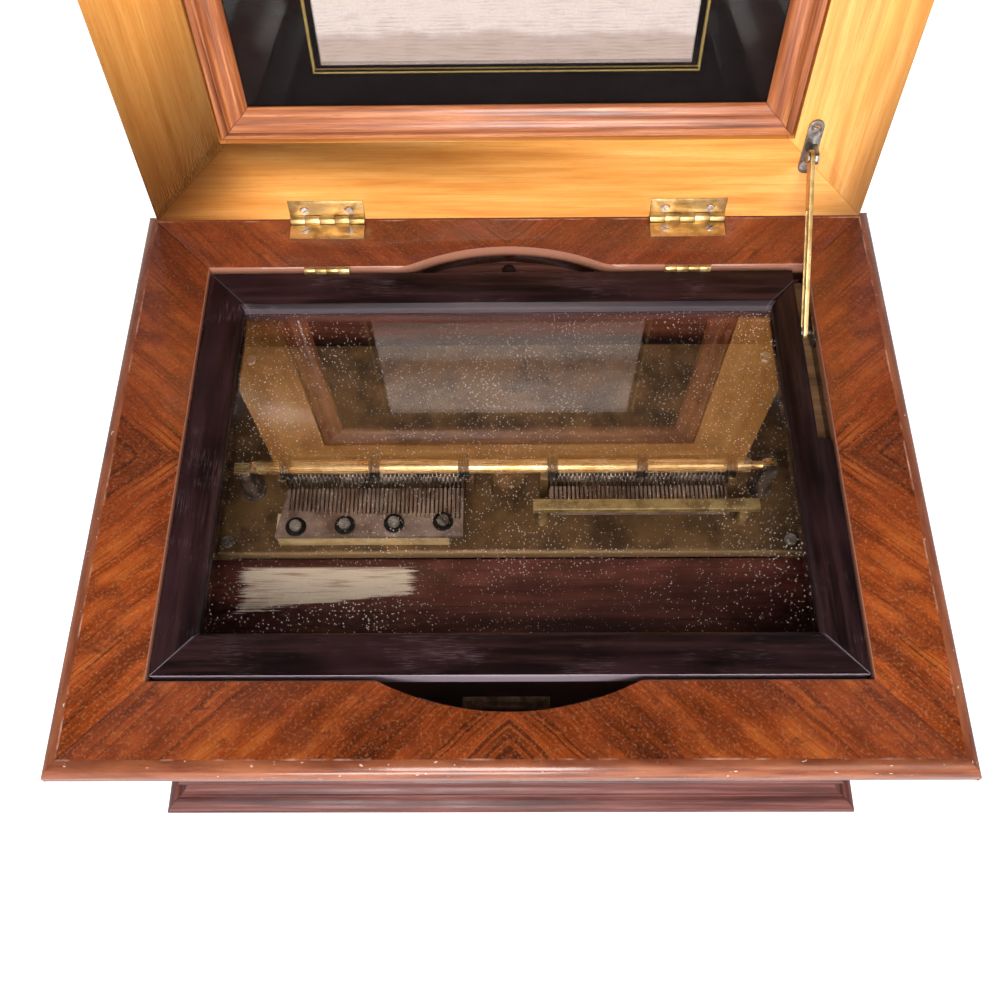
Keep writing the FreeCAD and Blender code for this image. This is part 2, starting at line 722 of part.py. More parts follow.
def make_lid():
    """Border, moulded rim, top panel, picture moulding, picture and hinges."""
    inner_rect = grown(mould_rect, shadow_gap)
    border = []
    for side in SIDES:
        wide = (picture_side_in if side in ("left", "right") else picture_end_in) - shadow_gap
        profile = [(0, lid_face), (0, border_back), (-wide, border_back), (-wide, lid_face)]
        rail = mitred_rail(side, profile, board_rect, inner_rect)
        if side == "back":
            rail = cut_by(rail, lid_hinge_pockets() + lid_hinge_screws())
        if side in ("back", "right"):
            rail = cut_by(rail, bracket_screws())
        border.append(swung_open(rail))
    write("lid_border", border)

    flange = picture_side_in + picture_mould_wide / 2
    panel_low = lid_top - lid_panel_thick
    rim = [
        (-flange, border_back),
        (0, border_back),
        (0, border_back + 5),
        (-9, border_back + 18, 2.5),
        (-9, border_back + 20),
        (-18, lid_top - 2, -2.2),
        (-20, lid_top),
        (-lid_panel_inset, lid_top),
        (-lid_panel_inset, panel_low),
        (-lid_panel_inset - lid_rim_ledge, panel_low),
        (-lid_panel_inset - lid_rim_ledge, border_back + lid_rim_ledge),
        (-flange, border_back + lid_rim_ledge),
    ]
    rim_far = grown(board_rect, -lid_panel_inset)
    write("lid_rim", [swung_open(mitred_rail(s, rim, board_rect, rim_far)) for s in SIDES])
    half, front, back = rim_far
    write("lid_top_panel", swung_open(block(-half, half, front, back, panel_low, lid_top)))

    face = lid_face + picture_mould_back
    sight = lid_face + picture_mould_back + picture_sight_deep
    inner = picture_mould_wide
    moulding = [
        (0, border_back),
        (0, face + 1.5),
        (-1.5, face, 0.4),
        (-inner * 0.3, face),
        (-inner * 0.62, face + picture_sight_deep * 0.45, -0.9),
        (-inner, sight, 1.3),
        (-inner, sight + 0.8),
        (picture_rabbet - inner, sight + 0.8),
        (picture_rabbet - inner, border_back),
    ]
    mould_far = grown(mould_rect, -picture_mould_wide)
    write("picture_moulding", [swung_open(mitred_rail(s, moulding, mould_rect, mould_far)) for s in SIDES])
    half, front, back = grown(rabbet_rect, -seat_gap)
    level = sight + 0.8
    layers = (
        ("picture_glass", picture_glass_thick),
        ("picture_board", border_back - level - picture_glass_thick),
    )
    for name, thick in layers:
        write(name, swung_open(block(-half, half, front, back, level, level + thick)))
        level += thick

    lower = [hinge_leaf(x, False) for x in hinge_centres(hinge_x)]
    write("lid_hinge_leaves_case", cut_by_each(lower, case_hinge_screws()))
    upper = cut_by_each([hinge_leaf(x, True) for x in hinge_centres(hinge_x)], lid_hinge_screws())
    write("lid_hinge_leaves_lid", [swung_open(leaf) for leaf in upper])
    pins = []
    kinds = (
        (hinge_axis, hinge_x, hinge_pin, hinge_long),
        (glass_axis, glass_hinge_x, glass_pin, glass_hinge_long),
    )
    for axis, centre, radius, long in kinds:
        for x in hinge_centres(centre):
            pins.append(faceted(head_flat_count, radius, long, axis + Vector(x - long / 2, 0, 0), "x"))
    write("hinge_pins", pins)
    write("case_screws", case_hinge_screws() + bedplate_screws() + plate_screws())
    write("lid_screws", [swung_open(s) for s in lid_hinge_screws() + bracket_screws()])


# Lid stay


def stay_pivot_shut():
    """The stay's pivot when the lid is shut."""
    return Vector(0, hinge_axis.y - stay_pivot_out, hinge_axis.z - stay_pivot_off)


def stay_pivot_open():
    """The stay's pivot when the lid is open."""
    point = Part.Vertex(stay_pivot_shut())
    return swung_open(point).Point


def stay_stud_at():
    """Where the case stud holds the slot's end."""
    return Vector(0, hinge_axis.y - stay_stud_front, hinge_axis.z - stay_stud_below)


def stay_length():
    """From the pivot to the bar's far end."""
    return stay_stud_at().sub(stay_pivot_open()).Length + stay_wide / 2


def bracket_screws():
    """The two screws of the stay's bracket, drawn shut."""
    solids = []
    for x, out in ((stay_x + 0.9, stay_pivot_out + 14.3), (stay_x - 0.6, stay_pivot_out - 11.1)):
        at = Vector(x, hinge_axis.y - out, lid_face - stay_plate_thick)
        solids.append(screw("hinge", at, "-z"))
    return solids


def plate_screws():
    """Two screws of the stud's wall plate."""
    solids = []
    stud = stay_stud_at()
    for offset in (-6.0, 6.0):
        at = Vector(open_rect[0] - stay_plate_thick, stud.y + offset, stud.z)
        solids.append(screw("plate", at, "-x"))
    return solids


def make_stay():
    """Bracket on the lid, slotted bar, stud and the plate it stands on."""
    pivot = stay_pivot_shut()
    plate_top = lid_face
    plate_low = lid_face - stay_plate_thick
    front, back = pivot.y - 21.0, pivot.y + 18.0
    left, right = stay_x - 4.0, stay_x + 5.6
    round_end = (right - left) / 2
    foot = outline("xy", [
        (left, front + round_end), (right, front + round_end, -round_end),
        (right, back - round_end), (left, back - round_end, -round_end),
    ], plate_low).extrude(Vector(0, 0, stay_plate_thick))
    ear_x = stay_x + stay_thick / 2 + seat_gap
    ear_half = stay_wide / 2
    ear = outline("yz", [
        (pivot.y - ear_half, pivot.z), (pivot.y + ear_half, pivot.z, -ear_half),
        (pivot.y + ear_half, plate_top - 0.5), (pivot.y - ear_half, plate_top - 0.5),
    ], ear_x).extrude(Vector(stay_ear_thick, 0, 0))
    bar_low = stay_x - stay_thick / 2
    head_low = bar_low - seat_gap - rivet_head_thick
    head_at = Vector(head_low, pivot.y, pivot.z)
    head = faceted(round_flat_count, rivet_head_radius, rivet_head_thick, head_at, "x")
    rivet_low = bar_low - seat_gap
    rivet = rod(rivet_radius, ear_x + 1 - rivet_low, Vector(rivet_low, pivot.y, pivot.z), "x")
    bracket = fused([foot, ear, head, rivet])
    write("stay_bracket", swung_open(cut_by(bracket, bracket_screws())))

    pivot = stay_pivot_open()
    stud = stay_stud_at()
    reach = stud.sub(Vector(0, pivot.y, pivot.z)).Length
    tilt = math.degrees(math.atan2(pivot.z - stud.z, pivot.y - stud.y))
    half = stay_wide / 2
    slot = stay_slot_wide / 2
    shut_reach = stud.sub(stay_pivot_shut()).Length
    body = outline("yz", [
        (-reach, -half, -half), (0, -half), (0, half), (-reach, half),
    ], -stay_thick / 2).extrude(Vector(stay_thick, 0, 0))
    eye = rod(half, stay_thick, Vector(-stay_thick / 2, 0, 0), "x")
    window = outline("yz", [
        (-reach, -slot, -slot), (-shut_reach, -slot), (-shut_reach, slot, -slot), (-reach, slot),
    ], -stay_thick).extrude(Vector(2 * stay_thick, 0, 0))
    bar = fused([body, eye]).cut(window)
    bar = bar.cut(rod(rivet_radius + run_gap, 2 * stay_thick, Vector(-stay_thick, 0, 0), "x"))
    bar.rotate(Vector(), Vector(1, 0, 0), tilt)
    bar.translate(Vector(stay_x, pivot.y, pivot.z))
    write("stay_bar", bar)

    plate_face = open_rect[0] - stay_plate_thick
    head = bar_low - seat_gap
    at = Vector(head, stud.y, stud.z)
    outer = at - Vector(rivet_head_thick, 0, 0)
    stud_head = faceted(round_flat_count, stud_head_radius, rivet_head_thick, outer, "x")
    stud_shank = rod(stay_stud_radius, plate_face - seat_gap - head, at, "x")
    write("stay_stud", fused([stud_head, stud_shank]))
    plate = block(plate_face, open_rect[0], stud.y - 9, stud.y + 9, stud.z - 4.5, stud.z + 4.5)
    write("stay_wall_plate", cut_by(plate, plate_screws()))
    print("stay reach", round(reach, 3), "tilt", round(tilt, 3), "pivot", pivot, "stud", stud)


# Movement


def bedplate_screws():
    """Four screws down through the bedplate into the bearers."""
    solids = []
    x = bedplate_half - bearer_overlap + 3.5
    for y in (bedplate_front + 8, bedplate_back - 12):
        for end in (-1, 1):
            solids.append(screw("bedplate", Vector(end * x, y, bedplate_top + SCREWS["bedplate"][1]), "z"))
    return solids


def star_wheels(start, count):
    """Star wheels in a row on a sleeve that meets their hollows, turning on the gantry's rod."""
    points = []
    for n in range(2 * star_points):
        angle = math.pi * n / star_points
        radius = star_radius if n % 2 == 0 else star_root
        points.append((radius * math.cos(angle), radius * math.sin(angle)))
    length = (count - 1) * tooth_pitch + 2 * star_thick
    pieces = [outline("yz", points[1::2], -star_thick / 2).extrude(Vector(length, 0, 0))]
    for n in range(count):
        pieces.append(outline("yz", points, n * tooth_pitch).extrude(Vector(star_thick, 0, 0)))
    row = fused(pieces).cut(rod(star_rod + run_gap, length + 2, Vector(-star_thick, 0, 0), "x"))
    row.translate(Vector(start, disc_axis_y, star_axis_z))
    return row


def gantry(start, end):
    """Two standards on a foot, with the wheels' rod and a damper rail behind."""
    thick = 5.0
    foot_back = disc_axis_y + 18
    rail_low, rail_high = star_axis_z - 6, star_axis_z + 4
    pieces = []
    for left in (start, end - thick):
        side = outline("yz", [
            (disc_axis_y - 6, bedplate_top), (foot_back, bedplate_top), (foot_back, rail_high),
            (foot_back - 6, rail_high), (disc_axis_y + 3, star_axis_z + 4),
            (disc_axis_y - 3, star_axis_z + 2),
        ], left)
        pieces.append(side.extrude(Vector(thick, 0, 0)))
    pieces.append(rod(star_rod, end - start, Vector(start, disc_axis_y, star_axis_z), "x"))
    pieces.append(block(start, end, foot_back - 4, foot_back, rail_low, rail_high))
    return fused(pieces)


def comb(start, root_left, root_right, front, top):
    """A steel comb seen from above: a plate sawn into teeth whose roots follow a slant."""
    tip = disc_axis_y - star_radius - comb_tip_gap
    points = [(start + tooth_count * tooth_pitch, front)]
    for n in range(tooth_count):
        right = start + (tooth_count - n) * tooth_pitch
        left = right - tooth_pitch + tooth_gap
        share = (tooth_count - 1 - n) / (tooth_count - 1)
        root = root_left + (root_right - root_left) * share
        points += [(right, tip), (left, tip)]
        if n < tooth_count - 1:
            points += [(left, root), (left - tooth_gap, root)]
    points.append((start + tooth_gap - left_comb_slant, front))
    return outline("xy", points, top - comb_thick).extrude(Vector(0, 0, comb_thick))


def left_comb_screw_places():
    """Where the left comb's four screws stand."""
    first, front = left_comb_start + left_screw_first, left_comb_front + left_screw_in
    pitch = (comb_long - left_screw_ends) / 3
    return [Vector(first + n * pitch, front + n * left_screw_slant, left_comb_top) for n in range(4)]


def make_combs():
    """Both combs with their carriers, and the star wheels that pluck them."""
    comb_end = left_comb_start + left_comb_slant + tooth_count * tooth_pitch
    start = left_comb_start + left_comb_slant
    screws, washers = [], []
    for at in left_comb_screw_places():
        top = Vector(at.x, at.y, at.z + washer_thick + SCREWS["comb"][1])
        screws.append(slotted(screw("comb", top, "z"), top, comb_slot_wide, comb_slot_deep))
        ring = faceted(head_flat_count, washer_radius, washer_thick, at)
        ring = ring.cut(faceted(shank_flat_count, SCREWS["comb"][2], washer_thick, at))
        washers.append(ring)
    steel = comb(start, -14.6, -21.0, left_comb_front, left_comb_top)
    write("left_comb", cut_by(steel, screws))
    base_top = left_comb_top - comb_thick
    base = block(left_comb_start + 1, comb_end - 9, left_comb_front + 1.5, -15.5, bedplate_top, base_top)
    write("left_comb_base", cut_by(base, screws))
    left_screws = screws + washers

    bar = block(right_bar_start, right_bar_end, right_bar_front, right_bar_back, right_bar_bottom,
                right_bar_bottom + right_bar_thick)
    middle_y = (right_bar_front + right_bar_back) / 2
    pillars = []
    for x in (right_bar_start + right_pillar_in, right_bar_end - right_pillar_in - 1.5):
        foot = Vector(x, middle_y, bedplate_top)
        pillars.append(faceted(round_flat_count, right_pillar_radius, right_bar_high, foot))
    screws = []
    plate_low = right_bar_bottom - comb_thick
    comb_middle = right_comb_start + comb_long / 2
    apart = comb_long / 2 - bar_screw_in
    for offset in (-apart, 0, apart):
        at = Vector(comb_middle + offset, middle_y, plate_low - SCREWS["bar"][1])
        screws.append(screw("bar", at, "-z"))
    upper = comb(right_comb_start, -10.5, -9.0, right_bar_front, right_bar_bottom)
    upper = upper.common(block(right_comb_start, right_bar_end, right_bar_front, bedplate_back, 0, lid_face))
    write("right_comb", cut_by(upper, screws))
    write("right_comb_bar", cut_by(bar, screws))
    write("right_comb_pillars", pillars)
    write("comb_fasteners", left_screws + screws)

    wheel_offset = (tooth_pitch - tooth_gap - star_thick) / 2 + tooth_gap
    rows = (("left", start), ("right", right_comb_start))
    gantries = []
    for name, row_start in rows:
        first = row_start + wheel_offset
        write("star_wheels_" + name, star_wheels(first, tooth_count))
        row_end = first + (tooth_count - 1) * tooth_pitch + star_thick
        gantries.append(gantry(first - 7, row_end + 7))
    write("star_gantries", gantries)


def make_pressure_bar():
    """The roller bar that holds a disc down, its pivot post and its catch."""
    y = disc_axis_y
    roller_x = [(n - (roller_count - 1) / 2) * roller_pitch for n in range(roller_count)]
    tube_left, tube_right = bar_catch_x + 9, bar_pivot_x - 12
    pieces = [rod(bar_radius, tube_right - tube_left, Vector(tube_left, y, bar_axis_z), "x")]
    eye_half = 2.6
    eye_radius = 5.0
    pieces.append(rod(2.8, bar_pivot_x - tube_right - 3, Vector(tube_right, y, bar_axis_z), "x"))
    eye = rod(eye_radius, 2 * eye_half, Vector(bar_pivot_x, y - eye_half, bar_axis_z), "y")
    pieces.append(eye)
    catch_drop = 2.4
    strap = outline("xz", [
        (tube_left + 2, bar_axis_z + 1.4), (tube_left - 2, bar_axis_z + 1.4, 0.3),
        (bar_catch_x + 3, bar_axis_z - catch_drop + 2.2, -0.8),
        (bar_catch_x - 6, bar_axis_z - catch_drop + 2.2),
        (bar_catch_x - 6, bar_axis_z - catch_drop), (bar_catch_x + 2, bar_axis_z - catch_drop),
        (tube_left - 2, bar_axis_z - 1.4, 0.8), (tube_left + 2, bar_axis_z - 1.4, -0.3),
    ], y - 3.5).extrude(Vector(0, 7, 0))
    pieces.append(strap)
    pin_radius = 2.0
    bar = fused(pieces).cut(rod(pin_radius + run_gap, 12, Vector(bar_pivot_x, y - 6, bar_axis_z), "y"))
    write("pressure_bar", bar)
    rollers = []
    for x in roller_x:
        left = x - roller_wide / 2
        at = Vector(left, y, bar_axis_z)
        roller = faceted(2 * round_flat_count, roller_radius, roller_wide, at, "x")
        rollers.append(roller.cut(room_round(bar_radius + run_gap, roller_wide, at, "x")))
    write("pressure_rollers", rollers)

    cheek = 3.0
    post_top = bar_axis_z - eye_radius - 2
    foot = Vector(bar_pivot_x, y, bedplate_top)
    post = [
        faceted(head_flat_count, post_foot_radius, post_foot_high, foot),
        faceted(round_flat_count, post_radius, post_top - bedplate_top, foot),
    ]
    fork_out = eye_half + seat_gap + cheek
    for low in (-fork_out, eye_half + seat_gap):
        cheek_side = outline("xz", [
            (bar_pivot_x - 5, post_top - 3), (bar_pivot_x + 5, post_top - 3),
            (bar_pivot_x + 5, bar_axis_z), (bar_pivot_x - 5, bar_axis_z, -5),
        ], y + low)
        post.append(cheek_side.extrude(Vector(0, cheek, 0)))
    pivot_pin = rod(pin_radius, 2 * fork_out, Vector(bar_pivot_x, y - fork_out, bar_axis_z), "y")
    post.append(pivot_pin)
    posts = [fused(post)]

    rest = bar_axis_z - catch_drop - seat_gap
    foot = Vector(bar_catch_x, y, bedplate_top)
    posts.append(fused([
        faceted(head_flat_count, post_foot_radius, post_foot_high, foot),
        faceted(round_flat_count, post_radius, rest - bedplate_top, foot),
    ]))
    write("bar_posts", posts)


def barrel_at():
    """Axis of the spring barrel, in mesh with the spindle wheel."""
    apart = gear_module * (great_teeth + spindle_teeth) / 2 + facet_gap
    angle = math.radians(mesh_angle)
    return spindle_at + Vector(math.cos(angle), math.sin(angle), 0) * apart


def governor_at():
    """Axis of the governor, in mesh with the great wheel."""
    apart = gear_module * (great_teeth + pinion_teeth) / 2 + facet_gap
    angle = math.radians(governor_angle)
    return barrel_at() + Vector(math.cos(angle), math.sin(angle), 0) * apart


def gear(teeth, at, thick, phase):
    """A spur wheel with straight-flanked teeth; the phase is the angle of one tooth's middle."""
    pitch_radius = gear_module * teeth / 2
    outer, inner = pitch_radius + gear_module * gear_tooth_out, pitch_radius - gear_module * 1.15
    points = []
    for n in range(teeth):
        middle = math.radians(phase) + 2 * math.pi * n / teeth
        quarter = math.pi / 2 / teeth
        for radius, offset in ((inner, -1.3), (outer, -0.35), (outer, 0.35), (inner, 1.3)):
            angle = middle + offset * quarter
            points.append((at.x + radius * math.cos(angle), at.y + radius * math.sin(angle)))
    return outline("xy", points, at.z).extrude(Vector(0, 0, thick))


def make_motor():
    """Spring barrel and great wheel, spindle wheel, governor, frame and winding arbor."""
    barrel = barrel_at()
    governor = governor_at()
    level = Vector(0, 0, gear_level)
    drum_top = gear_level - barrel_drop
    gear_top = gear_level + gear_thick
    arbor_top = bedplate_under - seat_gap
    drum_foot = barrel + Vector(0, 0, drum_top - barrel_deep)
    write("spring_barrel", fused([
        gear(great_teeth, barrel + level, gear_thick, mesh_angle + 180),
        faceted(2 * round_flat_count, barrel_radius, barrel_deep, drum_foot),
        faceted(round_flat_count, barrel_boss_radius, barrel_drop, barrel + Vector(0, 0, drum_top)),
        faceted(round_flat_count, arbor_radius, arbor_top - gear_top, barrel + Vector(0, 0, gear_top)),
    ]))
    spindle_foot = motor_plate_top + seat_gap
    tooth = 360 / spindle_teeth
    spindle_phase = mesh_angle + tooth / 2
    hub_low = bedplate_top + seat_gap
    hub_high = disc_level - hub_low
    hub = faceted(2 * round_flat_count, hub_radius, hub_high, spindle_at + Vector(0, 0, hub_low))
    dogs = []
    for end in (-1, 1):
        at = spindle_at + Vector(end * dog_circle, 0, disc_level)
        dogs.append(faceted(head_flat_count, dog_radius, dog_high, at))
    write("disc_spindle", fused([
        gear(spindle_teeth, spindle_at + level, gear_thick, spindle_phase),
        rod(arbor_radius, hub_low - spindle_foot, spindle_at + Vector(0, 0, spindle_foot)),
        hub,
        rod(spindle_radius, spindle_top - disc_level, spindle_at + Vector(0, 0, disc_level)),
    ] + dogs))

    lower = motor_plate_top
    pinion_phase = governor_angle + 180 + 180 / pinion_teeth
    great_phase_here = (governor_angle - mesh_angle - 180) / (360 / great_teeth)
    lag = (great_phase_here - round(great_phase_here)) * 360 / pinion_teeth
    pinion = gear(pinion_teeth, governor + level, gear_thick, pinion_phase + lag)
    fan = []
    for angle in (0, 90):
        thin, foot, top = fan_half_thick, lower + fan_gap, gear_level - fan_gap
        vane = block(-fan_radius, fan_radius, -thin, thin, foot, top)
        vane.rotate(Vector(), Vector(0, 0, 1), angle)
        vane.translate(Vector(governor.x, governor.y, 0))
        fan.append(vane)
    shaft_low = lower + seat_gap
    shaft_foot = governor + Vector(0, 0, shaft_low)
    shaft = faceted(head_flat_count, arbor_radius / 2, arbor_top - shaft_low, shaft_foot)
    write("governor", fused([pinion, shaft] + fan))

    great_out = great_radius + gear_module * gear_tooth_out
    spindle_out = gear_module * (spindle_teeth / 2 + gear_tooth_out)
    left, right = spindle_at.x - spindle_out - motor_left_out, barrel.x + great_out - motor_right_in
    front, back = barrel.y - great_out + motor_front_in, governor.y + motor_back_out
    plate = block(left, right, front, back, motor_plate_level, lower)
    pillars = []
    pillar_high = bedplate_under - lower
    spare = motor_pillar_radius + 1
    for x in (left + spare, right - spare):
        for y in (front + spare, back - spare):
            pillars.append(faceted(head_flat_count, motor_pillar_radius, pillar_high, Vector(x, y, lower)))
    write("motor_frame", fused([plate] + pillars))

    box_low = lower
    box = faceted(shank_flat_count, winding_box_radius, winding_box_high, barrel + Vector(0, 0, box_low))
    arbor_start = barrel.x + winding_box_radius - 14
    inner = room_rect[0]
    outer = wall_rect[0]
    socket = rod(winding_radius + run_gap, 20, Vector(arbor_start, barrel.y, winding_level), "x")
    write("winding_gear_box", box.cut(socket))
    inside = arbor_start + seat_gap
    arbor = rod(winding_radius, outer + 1 - inside, Vector(inside, barrel.y, winding_level), "x")
    half = winding_square / 2
    square = block(outer + 1, outer + escutcheon_thick + winding_out, barrel.y - half, barrel.y + half,
                   winding_level - half, winding_level + half)
    write("winding_arbor", fused([arbor, square]))
    corner = escutcheon_half - escutcheon_corner
    half = escutcheon_half
    plate = outline("yz", [
        (-corner, -half), (corner, -half), (half, -corner), (half, corner),
        (corner, half), (-corner, half), (-half, corner), (-half, -corner),
    ], outer)
    plate = plate.extrude(Vector(escutcheon_thick, 0, 0))
    plate.translate(Vector(0, barrel.y, winding_level))
    at = Vector(outer, barrel.y, winding_level)
    plate = plate.cut(rod(winding_radius + run_gap, escutcheon_thick, at, "x"))
    write("winding_escutcheon", plate)
    print("barrel", barrel, "governor", governor)


def make_bedplate():
    """The gilt casting that carries the movement, its front edge rounded over."""
    section = outline("yz", [
        (bedplate_front, bedplate_under), (bedplate_back, bedplate_under), (bedplate_back, bedplate_top),
        (bedplate_front + bedplate_edge, bedplate_top),
        (bedplate_front, bedplate_top - bedplate_edge, -bedplate_edge * 0.29),
    ], -bedplate_half)
    plate = section.extrude(Vector(2 * bedplate_half, 0, 0))
    plate = plate.cut(rod(arbor_radius + run_gap, bedplate_thick, spindle_at + Vector(0, 0, bedplate_under)))
    write("bedplate", cut_by(plate, bedplate_screws()))


os.makedirs("parts", exist_ok=True)
make_case()
make_shelves()
make_glass_lid()
make_lid()
make_stay()
make_bedplate()
make_combs()
make_pressure_bar()
make_motor()
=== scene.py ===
"""A table disc music box, open and at rest.

The glazed inner lid lies over the movement, and the main lid with its picture stands open behind.
"""
import json
from math import atan2, cos, pi, radians, sin

import bmesh
import bpy
from mathutils import Matrix, Vector

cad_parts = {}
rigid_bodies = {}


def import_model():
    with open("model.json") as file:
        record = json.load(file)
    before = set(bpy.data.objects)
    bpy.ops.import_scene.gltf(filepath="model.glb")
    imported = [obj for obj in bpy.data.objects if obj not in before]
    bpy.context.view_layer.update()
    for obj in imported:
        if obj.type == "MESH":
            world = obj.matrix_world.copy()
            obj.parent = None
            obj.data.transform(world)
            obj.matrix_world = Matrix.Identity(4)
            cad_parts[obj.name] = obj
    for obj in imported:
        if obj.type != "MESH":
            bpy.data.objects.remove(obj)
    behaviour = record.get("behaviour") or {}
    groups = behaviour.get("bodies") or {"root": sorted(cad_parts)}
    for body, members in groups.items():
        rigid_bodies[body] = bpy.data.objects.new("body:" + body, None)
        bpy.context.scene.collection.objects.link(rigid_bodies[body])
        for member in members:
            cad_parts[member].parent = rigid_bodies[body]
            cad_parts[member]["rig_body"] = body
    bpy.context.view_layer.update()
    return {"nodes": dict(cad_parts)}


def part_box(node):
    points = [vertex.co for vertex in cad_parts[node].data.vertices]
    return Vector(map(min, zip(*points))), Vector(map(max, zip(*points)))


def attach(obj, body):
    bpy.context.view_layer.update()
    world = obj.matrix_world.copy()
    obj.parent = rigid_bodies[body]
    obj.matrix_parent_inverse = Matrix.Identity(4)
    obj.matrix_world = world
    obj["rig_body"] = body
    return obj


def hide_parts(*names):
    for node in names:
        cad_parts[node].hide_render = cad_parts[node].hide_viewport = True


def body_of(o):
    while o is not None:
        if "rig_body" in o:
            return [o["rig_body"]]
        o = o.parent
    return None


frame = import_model()


# The camera stands over the front edge and looks steeply down into the case, as the photograph does.
# It is turned a little to one side and tilted. Places are in metres, the lens in millimetres.
CAMERA_AT = (0.0015, -0.2998, 0.7308)
CAMERA_DOWN, CAMERA_SIDE, CAMERA_TILT = radians(63.52), radians(-1.32), radians(1.45)
CAMERA_LENS = 37.22

ahead = Vector((sin(CAMERA_SIDE) * cos(CAMERA_DOWN), cos(CAMERA_SIDE) * cos(CAMERA_DOWN), -sin(CAMERA_DOWN)))
level = Vector((cos(CAMERA_SIDE), -sin(CAMERA_SIDE), 0))
below = ahead.cross(level)
across = cos(CAMERA_TILT) * level + sin(CAMERA_TILT) * below
upward = sin(CAMERA_TILT) * level - cos(CAMERA_TILT) * below
camera = bpy.data.objects.new("camera", bpy.data.cameras.new("camera"))
camera.data.lens = CAMERA_LENS
camera.matrix_world = Matrix.Translation(CAMERA_AT) @ Matrix((across, upward, -ahead)).transposed().to_4x4()
bpy.context.scene.collection.objects.link(camera)
bpy.context.scene.camera = camera


# The box stands on a photographer's white paper, under soft boxes in front and at one side. Polish and glass
# mirror a pale room with a dark ceiling. The paper keeps the shadow, and glows only where the lens sees it,
# straight or through glass.
WHITE = "ffffff"
MIRRORED_ROOM = ((0.0, WHITE), (0.40, "a4a4aa"), (0.765, "8e8a92"), (0.79, "070708"))
ROOM_LIGHT = "8c8c92"
PAPER, PAPER_GLOW = "f4f3f2", 0.62
PAPER_HALF = 8.0
BOX_MIDDLE = Vector((0, 0, 0.15))
SOFT_BOXES = (
    ("key_light", (-0.1, -1.5, 1.8), 0.8, 42),
    ("front_light", (0.0, -2.3, 0.6), 0.9, 41),
    ("fill_light", (1.3, -1.2, 1.7), 1.0, 8),
)


def colour(code):
    """An sRGB hex code as the linear colour that shaders take."""
    parts = [int(code[at:at + 2], 16) / 255 for at in (0, 2, 4)]
    return [part / 12.92 if part <= 0.04045 else ((part + 0.055) / 1.055) ** 2.4 for part in parts] + [1]


def node(tree, kind, inputs=(), stops=(), **settings):
    """Adds a shader node with settings, inputs (values, sockets or nodes) and the stops of a colour ramp."""
    made = tree.nodes.new("ShaderNode" + kind)
    for key, value in settings.items():
        setattr(made, key, value)
    for key, value in dict(inputs).items():
        if isinstance(value, bpy.types.Node):
            value = next(socket for socket in value.outputs if socket.enabled)
        if isinstance(value, bpy.types.NodeSocket):
            tree.links.new(value, made.inputs[key])
        else:
            made.inputs[key].default_value = value
    for at, (place, code) in enumerate(stops):
        spots = made.color_ramp.elements
        spot = spots[at] if at < 2 else spots.new(place)
        spot.position, spot.color = place, colour(code)
    return made


def meshed(name, bm):
    """Hands a bmesh over to a new mesh."""
    mesh = bpy.data.meshes.new(name)
    bm.to_mesh(mesh)
    bm.free()
    return mesh


bpy.context.scene.view_settings.view_transform = "Standard"
world = bpy.data.worlds.new("studio")
bpy.context.scene.world = world
world.use_nodes = True
tree = world.node_tree
rays = node(tree, "LightPath")
height = node(tree, "SeparateXYZ", {0: node(tree, "TexCoord").outputs["Generated"]}).outputs[2]
mirrored = node(tree, "ValToRGB", {0: height}, MIRRORED_ROOM)
polish = node(tree, "Math", {0: rays.outputs["Is Glossy Ray"], 1: rays.outputs["Is Transmission Ray"]},
              operation="MAXIMUM")
room = node(tree, "Mix", {0: polish, 6: colour(ROOM_LIGHT), 7: mirrored}, data_type="RGBA")
backdrop = node(tree, "Mix", {0: rays.outputs["Is Camera Ray"], 6: room, 7: colour(WHITE)}, data_type="RGBA")
tree.links.new(backdrop.outputs[2], tree.nodes["Background"].inputs["Color"])

for name, place, width, power in SOFT_BOXES:
    lamp = bpy.data.objects.new(name, bpy.data.lights.new(name, "AREA"))
    lamp.data.size, lamp.data.energy = width, power
    lamp.location = place
    lamp.rotation_euler = (BOX_MIDDLE - Vector(place)).to_track_quat("-Z", "Y").to_euler()
    bpy.context.scene.collection.objects.link(lamp)

paper = bpy.data.materials.new("white paper")
paper.use_nodes = True
tree = paper.node_tree
matt = node(tree, "BsdfDiffuse", {"Color": colour(PAPER)})
glow = node(tree, "Emission", {"Color": colour(WHITE), "Strength": PAPER_GLOW})
lit = node(tree, "AddShader", {0: matt, 1: glow})
rays = node(tree, "LightPath")
seen = node(tree, "Math", {0: rays.outputs["Is Camera Ray"], 1: rays.outputs["Is Transmission Ray"]},
            operation="MAXIMUM")
both = node(tree, "MixShader", {0: seen, 1: matt, 2: lit})
tree.links.new(both.outputs[0], tree.nodes["Material Output"].inputs["Surface"])

bm = bmesh.new()
bmesh.ops.create_grid(bm, x_segments=1, y_segments=1, size=PAPER_HALF)
floor = bpy.data.objects.new("floor", meshed("floor", bm))
floor.data.materials.append(paper)
bpy.context.scene.collection.objects.link(floor)


# The board round the opening is four mitred rails with veneer laid as a chevron, and a lipped edge moulding.
# Rosewood veneer, French polished, gives dark veins and fine lines at a slant under a deep gloss, and a
# painted shade darkens the rails toward the back. The edge moulding is plainer and knocked pale, with a
# painted shade toward its bottom and a broken pale line on its top arris that is rubbed wear and a painted
# highlight. The sawn edge of the opening is bare wood, with a painted shade darkening it downward.
BOARD_HALF = (0.237, 0.181)
BOARD_SOFTEN = 0.0006
CHEVRON = (0, 0, radians(42))
VENEER = ((0.32, "572410"), (0.45, "803712"), (0.56, "9a451a"), (0.72, "b85f26"))
MITRE_LINE = 0.0005
SAWN_WITHIN, SAWN_PAINTED_SHADE, STEEP = -0.02, (0.1835, 0.1805), 0.75
LIP_PAINTED_SHADE = (0.183, 0.178)
